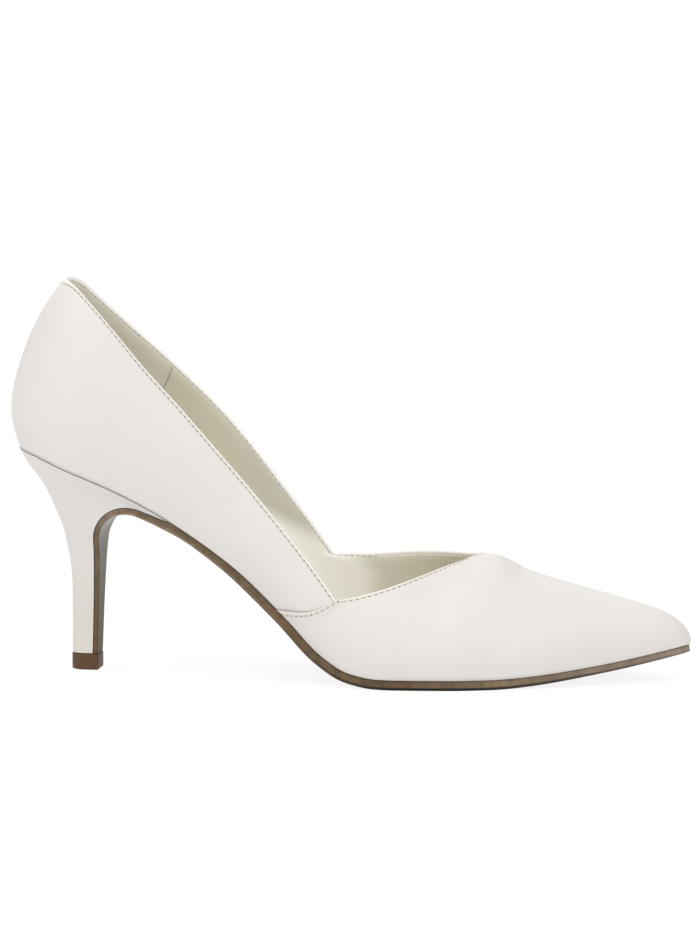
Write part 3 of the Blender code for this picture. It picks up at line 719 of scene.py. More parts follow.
def upper_side(ribs):
    """One side of the upper: up the outside, over the rim, down the inside, round the lasting margin."""
    fade, rim = ribs.rim_fade()[:, None], ribs.rim()[:, None]
    outside, below, groove = outside_wall(ribs)
    inside = inside_wall(ribs)
    tip, lip = outside[:, 0], inside[:, 0]
    upward = unit(tip - outside[:, 1])
    angle = np.linspace(0.0, np.pi, RIM_STEPS + 1)[1:-1][None, :, None]
    bead = ((tip + lip) / 2)[:, None] + ((tip - lip) / 2)[:, None] * np.cos(angle)
    bead = bead + upward[:, None] * rim[..., None] * np.sin(angle)

    depth = smooth(FLANGE_DEPTH, ribs.base)
    margin, middle = (flange_points(ribs.side, outside[:, -1], depth * part) for part in (1.0, 0.5))
    margin_top = margin.copy()
    margin_top[:, 2] += WALL * slant(margin[:, 0])
    flange = np.stack([margin_top, margin, middle], axis=1)
    grid = np.concatenate([outside[:, ::-1], bead, inside, flange], axis=1)

    marks = {mark: np.zeros(grid.shape[:2]) for mark in ("edge", "groove", "lip", "crease")}
    count, bead_end = outside.shape[1], outside.shape[1] + bead.shape[1]
    past = ribs.past_seam[:, None]
    band = np.clip(1 - (below - rim - ribs.stitch_depth()[:, None]) / EDGE_BAND, 0.0, 1.0) * fade
    lapped = np.where(past > 0, np.clip(1 - (past - SEAM_ROW) / LAP_BAND, 0.0, 1.0), 0.0)
    marks["edge"][:, :count] = np.maximum(band, LAP_EDGE_TONE * lapped)[:, ::-1]
    marks["edge"][:, count:bead_end + 3] = fade
    # painted light: a brighter tone on the inside of the folded rim, strong on the quarter and weaker on the
    # vamp
    lip_rows = slice(count + bead.shape[1] // 2, bead_end + 4)
    lip_painted_light = fade * ribs.beside_rim(LIP_PAINTED_LIGHT)[:, None]
    marks["lip"][:, lip_rows] = lip_painted_light
    marks["edge"][:, lip_rows] = np.minimum(marks["edge"][:, lip_rows], lip_painted_light)
    # painted shade: the stitch grooves darkened in colour, by the same mask that sinks them
    marks["groove"][:, :count] = groove[:, ::-1]
    # painted shadow: a dark line on the lap's step at the seam, coming in below the topline
    step = np.where(past >= 0, np.clip(1 - past / LAP_SHADOW_WIDTH, 0.0, 1.0), 0.0)
    step[ribs.seam_column - 1] = 1.0
    marks["crease"][:, :count] = (step * np.clip(below / LAP_SHADOW_FADE, 0.0, 1.0))[:, ::-1]
    return grid, marks, (count - 1, bead_end)


def make_upper(ribs_of, material):
    """Leather of the upper: quarters and vamp as one shell with folded rims, closed in front of the throat."""
    points, faces, marks = [], [], {}
    for side in (OUTER, INNER):
        grid, side_marks, (first, last) = upper_side(ribs_of[side])
        index = indices(grid, sum(map(len, points)))
        throat = ribs_of[side].throat_column
        faces += sheet(index[:throat + 1, first:last + 1])
        faces += sheet(np.concatenate([index[:, last:], index[:, :first + 1]], axis=1))
        points.append(grid.reshape(-1, 3))
        for mark, values in side_marks.items():
            marks.setdefault(mark, []).append(values.ravel())
    marks = {mark: np.concatenate(parts) for mark, parts in marks.items()}
    mesh = new_mesh("upper_leather", np.concatenate(points), faces, marks)
    add_piece("upper_leather", mesh, material, "upper")


def lining_side(ribs, thickness):
    """Back and face of a lining on one side: rows run down from below the rim."""
    drop = (RIM_RADIUS + ribs.beside_rim(LINING_BELOW_RIM)) * ribs.rim_fade(LINING_THROAT)
    share = np.linspace(0.0, 1.0, LINING_ROWS + 1)[None] ** LINING_ROW_POWER

    def rows(total):
        return drop[:, None] + (total - drop)[:, None] * share

    twin, _ = ribs.at(rows)
    for inset in (WALL + LINING_GAP, WALL + LINING_GAP + thickness):
        leaf, below = ribs.at(rows, inset, ribs.floor(inset) + GAP, ribs.room(inset))
        yield ribs.pared(leaf, twin, below)


def make_lining(name, ways_of, thickness, ends, material):
    """Closed lining sheet inside the upper along ways on both sides, closed at the ends that are given."""
    points, faces = [], []
    for side, ways in ways_of.items():
        ribs = Ribs(side, ways)
        back, face = lining_side(ribs, thickness)
        start = sum(map(len, points))
        near = indices(back, start)
        far = near + near.size
        joined_from = np.searchsorted(ribs.top, THROAT_X + LINING_THROAT) + 1
        faces += sheet(near) + sheet(far) + strip(near[:, -1], far[:, -1])
        faces += strip(near[:joined_from, 0], far[:joined_from, 0])
        for row in ends:
            faces += strip(near[row], far[row])
        points += [back.reshape(-1, 3), face.reshape(-1, 3)]
    add_piece(name, new_mesh(name, np.concatenate(points), faces), material)


def make_linings(materials):
    """Linings of heel and front, with a small gap at their seam."""
    heel, front = {}, {}
    for side in (OUTER, INNER):
        seam = (LINING_SEAM_STATION - BACK_STATION) / (CORNER_TOP_X[side] - BACK_STATION)
        heel[side] = np.linspace(0.0, seam - LINING_SEAM_GAP, LINING_STEPS["heel"])
        quarter = np.linspace(seam + LINING_SEAM_GAP, 1.0, LINING_STEPS["quarter"])
        edge = 1 + closing_steps(LINING_STEPS["vamp"])[1:]
        toe = np.linspace(2.0, LINING_TOE_WAY, LINING_STEPS["toe"])[1:]
        front[side] = np.concatenate([quarter, edge, toe])
    make_lining("heel_lining", heel, LINING_THICKNESS["heel"], (-1,), materials["heel_lining_leather"])
    make_lining("front_lining", front, LINING_THICKNESS["front"], (0, -1), materials["front_lining_leather"])


def outline_width(side, x, inset, tip_gap):
    """Half width of a flat piece inside the feather edge, at x between heel and toe."""
    back = np.clip((HEEL_CENTRE_X - x) / (BACK_RADIUS - inset), 0.0, 1.0)
    _, left = nose(x, NOSE_LENGTH - tip_gap)
    return (half_width(side, x) - inset) * np.sqrt(1 - back ** 2) * left


def ribbon(top, bottom):
    """Points and faces of a closed ribbon from its upper and lower lines across, section by section."""
    grid = np.concatenate([top, bottom[:, ::-1]], axis=1)
    index = indices(grid)
    faces = sheet(np.concatenate([index, index[:, :1]], axis=1))
    for row in (0, -1):
        near, far = np.split(index[row], 2)
        faces += strip(near, far[::-1])
    return grid.reshape(-1, 3), faces


def make_sock(material):
    """Sock on the insole board, a little crowned, with rounded edges."""
    back_x, toe_x = HEEL_CENTRE_X - BACK_RADIUS + INSOLE_INSET, TOE_X - INSOLE_TOE_GAP
    x = (back_x + toe_x) / 2 - (toe_x - back_x) / 2 * np.cos(np.linspace(0.0, np.pi, SOLE_STEPS + 1))
    outer, inner = (outline_width(side, x, INSOLE_INSET, INSOLE_TOE_GAP) for side in (OUTER, INNER))
    across = (1 - np.cos(np.linspace(0.0, np.pi, SOLE_ACROSS))) / 2
    y = (section("axis", x) - outer)[:, None] + (outer + inner)[:, None] * across
    x = np.repeat(x[:, None], SOLE_ACROSS, axis=1)
    bottom = np.stack([x, y, underside(x, y) + (WALL + INSOLE_GAP) * slant(x)], axis=-1)
    crown = np.sqrt(np.clip(1 - (2 * across - 1) ** SOCK_CROWN_POWER, 0.0, 1.0))
    thickness = INSOLE_THICKNESS * slant(x) * (1 - SOCK_CROWN + SOCK_CROWN * crown)
    top = np.stack([x, y, bottom[..., 2] + thickness], axis=-1)
    add_piece("sock", new_mesh("sock", *ribbon(top, bottom)), material, "insole")


def hook_path():
    """Joint of heel and outsole in side view, from the wedge's tip to the top piece, with its normals."""
    slope, lean = np.radians(HOOK_SLOPE), np.radians(BREAST_LEAN)
    angle = np.linspace(slope, lean - np.pi / 2, HOOK_STEPS["arc"] + 1)
    arc_normal = -np.stack([np.sin(angle), np.cos(angle)], axis=-1)
    arc = np.array(HOOK_CENTRE) - HOOK_RADIUS * arc_normal
    line_x = np.linspace(HOOK_TIP_X, arc[0, 0], HOOK_STEPS["line"] + 1)[:-1]
    line = np.column_stack([line_x, arc[0, 1] - (line_x - arc[0, 0]) * np.tan(slope)])
    breast_z = np.linspace(arc[-1, 1], HEEL_FOOT_Z, HOOK_STEPS["breast"] + 1)[1:]
    breast = np.column_stack([arc[-1, 0] + (breast_z - arc[-1, 1]) * np.tan(lean), breast_z])
    path = np.concatenate([line, arc, breast])
    normal = np.pad(arc_normal, ((len(line), len(breast)), (0, 0)), "edge")
    length = run_length(path)
    return path, normal, length / length[-1]


def eased(path, corner, reach):
    """Path with the corner at one of its points rounded, over a reach to both sides."""
    run = run_length(path)
    t = ((run[:, None] - run[corner]) / reach + 1) / 2
    ends = run[corner] + np.array([-reach, reach])
    start, end = np.stack([np.interp(ends, run, part) for part in path.T], axis=-1)
    bend = (1 - t) ** 2 * start + 2 * t * (1 - t) * path[corner] + t ** 2 * end
    return np.where((t > 0) & (t < 1), bend, path)


def lead_over(values, start, share, end):
    """Values from start on, drawn straight towards the end value."""
    values[start:] = values[start] + share * (end - values[start])
    return values


def make_outsole(material):
    """Sole from the toe to the heel, and on over the hook as the flap on the breast."""
    hook, hook_normal, hook_share = hook_path()
    toe_x = TOE_X - SOLE_INSET
    foot_length = toe_x - HOOK_TIP_X - SOLE_END_AHEAD
    foot_x = toe_x - foot_length * (1 - np.cos(np.linspace(0.0, np.pi / 2, SOLE_STEPS + 1)))
    bridge_x = np.linspace(foot_x[-1], HOOK_TIP_X + BRIDGE_GAP, BRIDGE_STEPS + 1)[1:]
    foot_x = np.concatenate([foot_x, bridge_x])
    count = len(foot_x)
    feather_z = smooth(FEATHER_LINE, foot_x)
    foot = np.column_stack([foot_x, feather_z - GAP * slant(foot_x)])
    joint = hook + hook_normal * GAP / 2
    upper_path = np.concatenate([foot, joint])
    way = (foot_x[SOLE_STEPS:] - foot_x[SOLE_STEPS]) / (joint[0, 0] - foot_x[SOLE_STEPS])
    path = np.concatenate([lead_over(foot, SOLE_STEPS, way[:, None], joint[0]), joint])
    along = np.gradient(path, axis=0)
    normal = unit(np.stack([-along[:, 1], along[:, 0]], axis=-1))
    thickness = np.concatenate([smooth(SOLE_THICKNESS, foot_x), smooth(FLAP_THICKNESS, hook_share)])
    sides = []
    for side in (OUTER, INNER):
        flap = side * smooth(HOOK_WIDTH, hook_share)
        edge = section("axis", foot_x) + side * outline_width(side, foot_x, SOLE_INSET, SOLE_INSET)
        sides.append(np.concatenate([lead_over(edge, SOLE_STEPS, way, flap[0]), flap])[:, None])
    y = sides[0] + (sides[1] - sides[0]) * np.linspace(0.0, 1.0, SOLE_ACROSS)
    arch = np.zeros_like(y)
    arch[:count] = underside(foot_x[:, None], y[:count]) - feather_z[:, None]
    top = np.stack([upper_path[:, :1] + 0 * y, y, upper_path[:, 1:] + arch], axis=-1)
    fade = np.linspace(1.0, 0.0, HOOK_STEPS["line"])[:, None]
    arch[count:count + HOOK_STEPS["line"]] = arch[count - 1] * fade
    lower = eased(path + normal * thickness[:, None], count, SOLE_EASE)
    bottom = np.stack([lower[:, :1] + 0 * y, y, np.maximum(lower[:, 1:] + arch, 0.0)], axis=-1)
    level = np.concatenate([np.ones_like(y), np.zeros_like(y)], axis=1)
    level[:, SOLE_ACROSS + 1:-1] = -1.0
    run = run_length(path)[:, None]
    run = run / run[-1] + 0 * level
    mesh = new_mesh("brown_outsole", *ribbon(top, bottom), {"level": level.ravel(), "run": run.ravel()})
    add_piece("brown_outsole", mesh, material, "outsole")


def heel_half(side):
    """Side of the heel as a blended patch between its back line, breast line, foot and seat."""
    hook, hook_normal, hook_share = hook_path()
    front_line = (hook - hook_normal * GAP / 2)[::-1]
    front_width = smooth(HOOK_WIDTH, hook_share)[::-1] * side
    places = np.cumsum([0, HOOK_STEPS["breast"], HOOK_STEPS["arc"], HOOK_STEPS["line"], 1])
    up = np.interp(np.arange(len(hook) + 1), places, (0.0, *HEEL_UP_SHARE.values(), 1.0))[:, None]

    turn = np.linspace(0.0, 1.0, HEEL_STEPS_ROUND + 1)
    round_angle = np.clip(turn / HEEL_ROUND_SHARE, 0.0, 1.0) * np.pi / 2
    straight = np.clip((turn - HEEL_ROUND_SHARE) / (1 - HEEL_ROUND_SHARE), 0.0, 1.0)
    station = np.where(turn < HEEL_ROUND_SHARE, BACK_STATION + HEEL_ARC * round_angle / (np.pi / 2),
                       HEEL_CENTRE_X + (HOOK_TIP_X - HEEL_CENTRE_X) * straight)
    seat = wall_point(side, station, np.zeros_like(station), inset=-HEEL_PROUD) - (0.0, 0.0, GAP)
    radius = HEEL_TIP_HALF_WIDTH
    foot_x = HEEL_BACK_X + radius * (1 - np.cos(round_angle))
    foot_x = foot_x + (front_line[0, 0] - HEEL_BACK_X - radius) * straight
    foot = np.stack([foot_x, side * radius * np.sin(round_angle), np.full_like(foot_x, HEEL_FOOT_Z)], axis=-1)

    back_z = HEEL_FOOT_Z + (seat[0, 2] - HEEL_FOOT_Z) * up[:, 0]
    flare = smooth(HEEL_SWEEP, (up - HEEL_STRAIGHT) / (1 - HEEL_STRAIGHT))
    back_x = foot[0, 0] + (seat[0, 0] - foot[0, 0]) * flare[:, 0]
    back = np.column_stack([back_x, np.zeros_like(back_z), back_z])
    front = np.column_stack([front_line[:, 0], front_width, front_line[:, 1]])
    front = np.concatenate([front, seat[-1:]])
    foot[-1] = front[0]
    mix = np.concatenate([flare, flare, up], axis=1)[:, None, :]
    turn = turn[None, :, None]
    ruled = (1 - turn) * back[:, None] + turn * front[:, None] + (1 - mix) * foot[None] + mix * seat[None]
    foot_chord = (1 - turn) * foot[0] + turn * foot[-1]
    seat_chord = (1 - turn) * seat[0] + turn * seat[-1]
    return ruled - (1 - mix) * foot_chord - mix * seat_chord


def make_heel(material):
    """Leather cover of the heel, closed at its seat, its foot and its breast."""
    halves = [heel_half(side) for side in (OUTER, INNER)]
    near = indices(halves[0])
    far = near + near.size
    faces = sheet(near) + sheet(far) + strip(near[:, -1], far[:, -1])
    for row in (0, -1):
        faces += strip(near[row], far[row])
    points = np.concatenate([half.reshape(-1, 3) for half in halves])
    add_piece("heel_cover", new_mesh("heel_cover", points, faces), material, "heel")


def make_top_piece(material):
    """Flat wearing piece below heel and flap: a round back and straight sides to a square front."""
    radius = HEEL_TIP_HALF_WIDTH + TOP_PIECE_PROUD
    centre_x = HEEL_BACK_X + HEEL_TIP_HALF_WIDTH
    hook, _, _ = hook_path()
    front_x = hook[-1, 0] + GAP / 2 + FLAP_THICKNESS[-1][1] + TOP_PIECE_PROUD
    angle = np.linspace(np.pi / 2, 3 * np.pi / 2, HEEL_STEPS_ROUND + 1)
    outline = np.column_stack([centre_x + radius * np.cos(angle), radius * np.sin(angle)])
    outline = np.concatenate([outline, [(front_x, -radius), (front_x, radius)]])
    count = len(outline)
    points = [(x, y, z) for z in (0.0, TOP_PIECE_HEIGHT) for x, y in outline]
    ring = np.append(np.arange(count), 0)
    faces = strip(ring, ring + count) + [list(range(count)), list(range(count, 2 * count))]
    mesh = new_mesh("top_piece_lift", points, faces)
    add_piece("top_piece_lift", mesh, material, "top_piece")


class Tree:
    """Node tree that is filled by short calls, whose inputs are plain values or outputs of other nodes."""

    def __init__(self, tree):
        self.nodes, self.link, self.interface = tree.nodes, tree.links.new, tree.interface

    def node(self, kind, inputs=None, **settings):
        """New node of a kind, with its settings and inputs."""
        node = self.nodes.new(kind)
        for label, value in settings.items():
            setattr(node, label, value)
        for label, value in (inputs or {}).items():
            socket = node.inputs[label]
            if isinstance(value, bpy.types.NodeSocket):
                self.link(value, socket)
            elif socket.type == "RGBA":
                socket.default_value = (*value, 1.0)
            else:
                socket.default_value = value
        return node

    def sockets(self, way, kinds):
        """Named sockets of a node group."""
        for label, kind in kinds.items():
            self.interface.new_socket(label, in_out=way, socket_type="NodeSocket" + kind)

    def place(self):
        """Object coordinates."""
        return self.node("ShaderNodeTexCoord").outputs["Object"]

    def attribute(self, name):
        """Value of a piece's own attribute."""
        return self.node("ShaderNodeAttribute", attribute_name=name).outputs["Fac"]

    def math(self, operation, first, second):
        """Sum, product or the like of two values."""
        return self.node("ShaderNodeMath", {0: first, 1: second}, operation=operation).outputs[0]

    def mix(self, factor, first, second, blend="MIX"):
        """Mix of two colours."""
        inputs = {0: factor, 6: first, 7: second}
        return self.node("ShaderNodeMix", inputs, data_type="RGBA", blend_type=blend).outputs[2]

    def noise(self, vector, scale, detail, roughness):
        """Noise on a vector."""
        inputs = {"Detail": detail, "Roughness": roughness, "Vector": vector, "Scale": scale}
        return self.node("ShaderNodeTexNoise", inputs).outputs["Fac"]

    def spread(self, value, low, high):
        """Value from 0 to 1 moved to a range."""
        inputs = {"To Min": low, "To Max": high, "Value": value}
        return self.node("ShaderNodeMapRange", inputs).outputs["Result"]

    def step(self, value, start, end, high=1.0):
        """Soft step of a value from 0 at one place to its height at another."""
        inputs = {"From Min": start, "From Max": end, "To Max": high, "Value": value}
        return self.node("ShaderNodeMapRange", inputs, interpolation_type="SMOOTHSTEP").outputs["Result"]

    def ramp(self, value, stops):
        """Colour along a value; stops are (place, colour)."""
        node = self.node("ShaderNodeValToRGB", {"Fac": value})
        elements = node.color_ramp.elements
        for element, (place, colour) in zip(elements, (stops[0], stops[-1])):
            element.position = place
            element.color = (*colour, 1.0)
        for place, colour in stops[1:-1]:
            elements.new(place).color = (*colour, 1.0)
        return node.outputs["Color"]

    def bump(self, height, strength, distance):
        """Normal from a height."""
        inputs = {"Strength": strength, "Distance": distance, "Height": height}
        return self.node("ShaderNodeBump", inputs).outputs["Normal"]


def stitch_tree():
    """Geometry Nodes tree: one rounded stitch at each pitch along a path, lying on the surface."""
    group = bpy.data.node_groups.new("stitch_row", "GeometryNodeTree")
    tree = Tree(group)
    tree.sockets("INPUT", {"Path": "Geometry", "Pitch": "Float", "Shift": "Float", "Half size": "Vector",
                           "Thread": "Material"})
    tree.sockets("OUTPUT", {"Stitches": "Geometry"})
    given = tree.node("NodeGroupInput").outputs
    curve = tree.node("GeometryNodeMeshToCurve", {"Mesh": given["Path"]}).outputs["Curve"]
    inputs = {"Curve": curve, "Length": given["Pitch"]}
    points = tree.node("GeometryNodeCurveToPoints", inputs, mode="LENGTH").outputs
    facing = tree.node("GeometryNodeInputNamedAttribute", {"Name": "facing"}, data_type="FLOAT_VECTOR")
    along = tree.node("FunctionNodeAlignRotationToVector", {"Vector": points["Tangent"]}, axis="X")
    inputs = {"Rotation": along.outputs["Rotation"], "Vector": facing.outputs["Attribute"]}
    turned = tree.node("FunctionNodeAlignRotationToVector", inputs, axis="Z", pivot_axis="X")
    inputs = {"Vector": points["Tangent"], "Scale": given["Shift"]}
    shift = tree.node("ShaderNodeVectorMath", inputs, operation="SCALE").outputs["Vector"]
    inputs = {"Geometry": points["Points"], "Offset": shift}
    moved = tree.node("GeometryNodeSetPosition", inputs).outputs["Geometry"]
    grain = tree.node("GeometryNodeMeshUVSphere", {**STITCH_SIDES, "Radius": 1.0}).outputs["Mesh"]
    inputs = {"Points": moved, "Instance": grain, "Rotation": turned.outputs["Rotation"],
              "Scale": given["Half size"]}
    placed = tree.node("GeometryNodeInstanceOnPoints", inputs).outputs["Instances"]
    real = tree.node("GeometryNodeRealizeInstances", {"Geometry": placed}).outputs["Geometry"]
    soft = tree.node("GeometryNodeSetShadeSmooth", {"Geometry": real}).outputs["Geometry"]
    dressed = tree.node("GeometryNodeSetMaterial", {"Geometry": soft, "Material": given["Thread"]})
    tree.node("NodeGroupOutput", {"Stitches": dressed.outputs["Geometry"]})
    return group


def stitch_piece(name, tree, rows, shift, size, material):
    """Piece with a stitch at each pitch along every row; a row is points and outward directions."""
    points, facing = (np.concatenate(part) for part in zip(*rows))
    edges, start = [], 0
    for line, _ in rows:
        edges += [(start + k, start + k + 1) for k in range(len(line) - 1)]
        start += len(line)
    path = bpy.data.meshes.new(name + "_path")
    path.from_pydata((points * MM).tolist(), edges, [])
    layer = path.attributes.new("facing", "FLOAT_VECTOR", "POINT")
    layer.data.foreach_set("vector", facing.astype(np.float32).ravel())
    carrier = bpy.data.objects.new(name + "_path", path)
    bpy.context.scene.collection.objects.link(carrier)
    modifier = carrier.modifiers.new("stitches", "NODES")
    modifier.node_group = tree
    sockets = {item.name: item.identifier for item in tree.interface.items_tree if item.in_out == "INPUT"}
    modifier[sockets["Pitch"]] = STITCH_PITCH * MM
    modifier[sockets["Shift"]] = shift * MM
    modifier[sockets["Half size"]] = [part * MM / 2 for part in size]
    modifier[sockets["Thread"]] = material
    carrier.update_tag()
    mesh = applied_mesh(carrier)
    mesh.name = name
    bpy.data.objects.remove(carrier)
    bpy.data.meshes.remove(path)
    add_piece(name, mesh, material)


def even_row(points, facing):
    """Row resampled at even steps along its length."""
    length = run_length(points)
    want = np.linspace(0.0, length[-1], max(int(length[-1] / ROW_STEP), 2))

    def even(part):
        return np.stack([np.interp(want, length, k) for k in part.T], axis=-1)

    return even(points), unit(even(facing))


def sewn_rows(ribs_of):
    """Stitch rows outside and inside: round the quarters, and up each seam and along the vamp's edge."""
    outside, inside, ends = [], [], {}
    for side in (OUTER, INNER):
        ribs = ribs_of[side]
        fade = ribs.rim_fade()
        row_below = ribs.rim() + ribs.stitch_depth()
        face, _ = ribs.at(np.stack([row_below + k for k in (-ROW_SPREAD, 0.0, ROW_SPREAD)], axis=1))
        normal = normals_of(face, side)[:, 1]
        lifted = face[:, 1] + normal * (ribs.lap() - GROOVE_DEPTH * fade)[:, None]
        first = np.searchsorted(ribs.top, BACK_STATION + ROW_FROM_BACK)
        last = ribs.seam_column - len(BEFORE_SEAM) - 2
        outside.append(even_row(lifted[first:last], normal[first:last]))

        seam = np.argmin(np.abs(ribs.past_seam - SEAM_ROW))
        down = np.linspace(0.0, 1.0, SEAM_ROW_STEPS)
        seam_lines, _ = ribs.at(lambda total: total[:, None] * down)
        seam_normal = normals_of(seam_lines, side)[seam, ::-1]
        seam_row = seam_lines[seam, ::-1] + seam_normal * (ribs.lap()[seam] - GROOVE_DEPTH)
        below_row = np.arange(SEAM_ROW_STEPS) < np.argmin(np.linalg.norm(seam_row - lifted[seam], axis=-1))
        keep = below_row & (np.linalg.norm(seam_row - seam_row[0], axis=-1) > SEAM_ROW_START)
        edge = slice(seam, np.searchsorted(ribs.top, THROAT_X - ROW_BEFORE_THROAT))
        outside.append(even_row(np.concatenate([seam_row[keep], lifted[edge]]),
                                np.concatenate([seam_normal[keep], normal[edge]])))

        below = (RIM_RADIUS * fade + ribs.beside_rim(INSIDE_ROW))[:, None]
        lining_face, _ = ribs.at(below, WALL, ribs.floor(WALL), ribs.room(WALL))
        lining_face = ribs.pared(lining_face, ribs.at(below)[0], below)[:, 0]
        across = unit(lining_face - face[:, 1])
        vamp = slice(ribs.seam_column, np.searchsorted(ribs.top, CORNER_TOP_X[side] + INSIDE_ROW_REACH))
        inside.append(even_row(lining_face[vamp], across[vamp]))
        ends[side] = lining_face[:ribs.seam_column], across[:ribs.seam_column]
    joined = [np.concatenate([outer[::-1], inner[1:]]) for outer, inner in zip(ends[OUTER], ends[INNER])]
    return outside + inside + [even_row(*joined)]


def grain_group():
    """Leather grain: fine cells with pores as a height, and a soft cloudy tone."""
    group = bpy.data.node_groups.new("leather_grain", "ShaderNodeTree")
    tree = Tree(group)
    tree.sockets("INPUT", {"Cell scale": "Float"})
    tree.sockets("OUTPUT", {"Height": "Float", "Cloud": "Float"})
    cell = tree.node("NodeGroupInput").outputs["Cell scale"]
    place = tree.place()
    cells = tree.node("ShaderNodeTexVoronoi", {"Vector": place, "Scale": cell}, feature="SMOOTH_F1")
    pores = tree.noise(place, tree.math("MULTIPLY", cell, PORE_SCALE), *PORE_NOISE)
    height = tree.math("SUBTRACT", cells.outputs["Distance"], tree.math("MULTIPLY", pores, PORE_SHARE))
    tree.node("NodeGroupOutput", {"Height": height, "Cloud": tree.noise(place, *CLOUD_NOISE)})
    return group


def new_material(name, gloss):
    """Material with a gloss; returns it with its tree and the inputs of its Principled shader."""
    material = bpy.data.materials.new(name)
    material.use_nodes = True
    inputs = material.node_tree.nodes["Principled BSDF"].inputs
    inputs["Specular IOR Level"].default_value = gloss
    return material, Tree(material.node_tree), inputs


def connect(tree, inputs, colour, rough, normal):
    """Colour, roughness and normal linked to a Principled shader."""
    for label, output in (("Base Color", colour), ("Roughness", rough), ("Normal", normal)):
        tree.link(output, inputs[label])


def leather(name, grain, light, dark, rough, cell, bump, coat=0.0):
    """Leather of two close tones with fine grain, its painted light and shade along the shoe, and the marks of
    its mesh, painted light and shade among them.
    """
    material, tree, inputs = new_material(name, LEATHER_GLOSS)
    place = tree.place()
    use = tree.node("ShaderNodeGroup", {"Cell scale": cell}, node_tree=grain)
    cloud = use.outputs["Cloud"]
    colour = tree.mix(cloud, dark, light)
    # painted light and shade, coming in along a direction
    for tone, direction, start, end in TONES.get(name, ()):
        along = tree.node("ShaderNodeVectorMath", {0: place, 1: direction}, operation="DOT_PRODUCT")
        colour = tree.mix(tree.step(along.outputs["Value"], start, end), colour, tone)
    # marks of the mesh: a cream edge, and painted light and shade on the rim's inside, in the stitch grooves
    # and at the lap's step
    for mark, tone in MARKS.get(name, ()):
        colour = tree.mix(tree.attribute(mark), colour, tone)
    normal = tree.bump(use.outputs["Height"], bump, LEATHER_BUMP_DEPTH)
    connect(tree, inputs, colour, tree.spread(cloud, *rough), normal)
    inputs["Coat Weight"].default_value = coat
    inputs["Coat Roughness"].default_value = COAT_ROUGHNESS
    return material


def sole_leather(name):
    """Brown sole: a mottled edge with a bottom line (painted contact shadow where it is dark at the tread) and
    a top line (painted shade under the upper), and a smoother face below.
    """
    material, tree, inputs = new_material(name, DULL_GLOSS)
    place = tree.place()
    level, run = tree.attribute("level"), tree.attribute("run")

    def tone_ramp(share_of):
        return tree.ramp(run, [(row[0], [part * share_of(row) for part in row[1]]) for row in SOLE_TONES])

    # tone along the run; its lighter, greyer rows at the hook's arc are painted sheen
    middle = tone_ramp(lambda row: 1.0)
    edge = tree.mix(tree.step(tree.noise(place, *WARM_NOISE), *WARM_SPOTS), middle, SOLE_WARM_TONE)
    # bottom line: painted contact shadow where it is dark at the tread, paler at the arch
    edge = tree.mix(tree.step(level, *BOTTOM_LINE), edge, tone_ramp(lambda row: row[2]))
    # top line: painted shade under the upper, lighter at a few places along the run
    edge = tree.mix(tree.step(level, *TOP_LINE), edge, tone_ramp(lambda row: row[3]))
    face = tree.mix(1.0, middle, SOLE_FACE, "MULTIPLY")
    colour = tree.mix(tree.step(level, *LOWER_FACE), edge, face)
    lie = tree.node("ShaderNodeMapping", {"Scale": STREAK_STRETCH, "Vector": place}).outputs["Vector"]
    streak = tree.noise(lie, *STREAK_NOISE)
    mottle = tree.math("MULTIPLY", tree.noise(place, *MOTTLE_NOISE), MOTTLE_SHARE)
    tone = tree.math("ADD", tree.math("MULTIPLY", streak, STREAK_SHARE), mottle)
    colour = tree.mix(1.0, colour, tree.spread(tone, *SOLE_SHADES), "MULTIPLY")
    gloss = tree.ramp(run, [(row[0], (row[4],) * 3) for row in SOLE_TONES])
    rough = tree.math("ADD", gloss, tree.spread(tone, *SOLE_ROUGH_SPREAD))
    connect(tree, inputs, colour, rough, tree.bump(streak, SOLE_BUMP, LEATHER_BUMP_DEPTH))
    return material


def plain_fleck(name, light, dark, rough, scale, bump):
    """Fine speckled material for thread, the painted shade of the needle holes and the wearing piece."""
    material, tree, inputs = new_material(name, DULL_GLOSS)
    fleck = tree.noise(tree.place(), scale, *FLECK_NOISE)
    normal = tree.bump(fleck, bump, FLECK_BUMP_DEPTH)
    connect(tree, inputs, tree.mix(fleck, dark, light), tree.spread(fleck, *rough), normal)
    return material


def back_vector(azimuth, elevation):
    """Direction from the shoe to a viewer."""
    a, e = np.radians(azimuth), np.radians(elevation)
    return Vector((np.sin(a) * np.cos(e), -np.cos(a) * np.cos(e), np.sin(e)))


def aim(name, data, back):
    """Camera or light in the scene, looking against a direction."""
    thing = bpy.data.objects.new(name, data)
    thing.rotation_euler = back.to_track_quat("Z", "Y").to_euler()
    bpy.context.scene.collection.objects.link(thing)
    return thing


def make_camera():
    """Camera at the photograph's angle."""
    lens = bpy.data.cameras.new("camera")
    lens.lens = CAMERA_LENS
    lens.sensor_width = CAMERA_SENSOR
    lens.clip_end = CAMERA_REACH
    back = back_vector(CAMERA_AZIMUTH, CAMERA_ELEVATION)
    camera = aim("camera", lens, back)
    camera.location = CAMERA_TARGET + back * CAMERA_DISTANCE
    bpy.context.scene.camera = camera


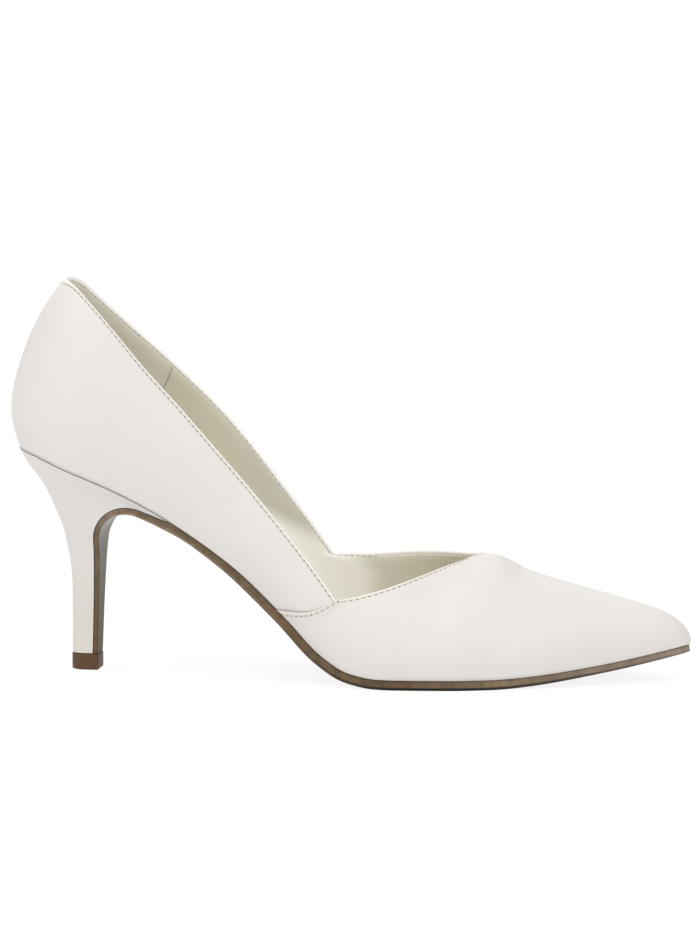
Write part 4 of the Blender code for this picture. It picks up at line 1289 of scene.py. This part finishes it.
def make_studio():
    """Pale floor, white surround and wide soft suns, the same all over the floor."""
    scene = bpy.context.scene
    scene.view_settings.view_transform = "Standard"
    world = bpy.data.worlds.new("studio")
    world.use_nodes = True
    surround = world.node_tree.nodes["Background"]
    surround.inputs["Color"].default_value = (1.0, 1.0, 1.0, 1.0)
    surround.inputs["Strength"].default_value = SURROUND
    scene.world = world
    mesh = bpy.data.meshes.new("floor")
    corners = [(x * FLOOR_REACH, y * FLOOR_REACH, 0.0) for x, y in ((-1, -1), (1, -1), (1, 1), (-1, 1))]
    mesh.from_pydata(corners, [], [(0, 1, 2, 3)])
    material, _, inputs = new_material("floor_paper", 0.0)
    inputs["Base Color"].default_value = (FLOOR_TONE, FLOOR_TONE, FLOOR_TONE, 1.0)
    inputs["Roughness"].default_value = FLOOR_ROUGHNESS
    inputs["Emission Color"].default_value = (1.0, 1.0, 1.0, 1.0)
    inputs["Emission Strength"].default_value = FLOOR_GLOW
    mesh.materials.append(material)
    floor = bpy.data.objects.new("floor", mesh)
    scene.collection.objects.link(floor)
    floor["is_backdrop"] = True
    for name, azimuth, elevation, angle, strength in SUNS:
        sun = bpy.data.lights.new(name, "SUN")
        sun.angle = np.radians(angle)
        sun.energy = strength
        aim(name, sun, back_vector(azimuth, elevation))


def dress_shoe():
    """All pieces of the shoe with their materials."""
    grain = grain_group()
    materials = {name: leather(name, grain, **look) for name, look in LEATHERS.items()}
    materials.update({name: plain_fleck(name, *look) for name, look in FLECKS.items()})
    ribs_of = {side: Ribs(side, upper_ways(side)) for side in (OUTER, INNER)}
    make_upper(ribs_of, materials["white_leather"])
    make_linings(materials)
    make_sock(materials["sock_leather"])
    make_outsole(sole_leather("brown_sole"))
    make_heel(materials["heel_leather"])
    make_top_piece(materials["wearing_piece"])
    tree, rows = stitch_tree(), sewn_rows(ribs_of)
    stitch_piece("stitches", tree, rows, 0.0, STITCH_SIZE, materials["thread"])
    # dark blobs between the stitches: painted shade of the needle holes
    stitch_piece("needle_hole_shades", tree, rows, STITCH_PITCH / 2, HOLE_SHADE_SIZE, materials["needle_hole_shade"])


make_camera()
make_studio()
dress_shoe()

boxes = [[list(map(float, corner)) for corner in box] for box in (cad_box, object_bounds())]
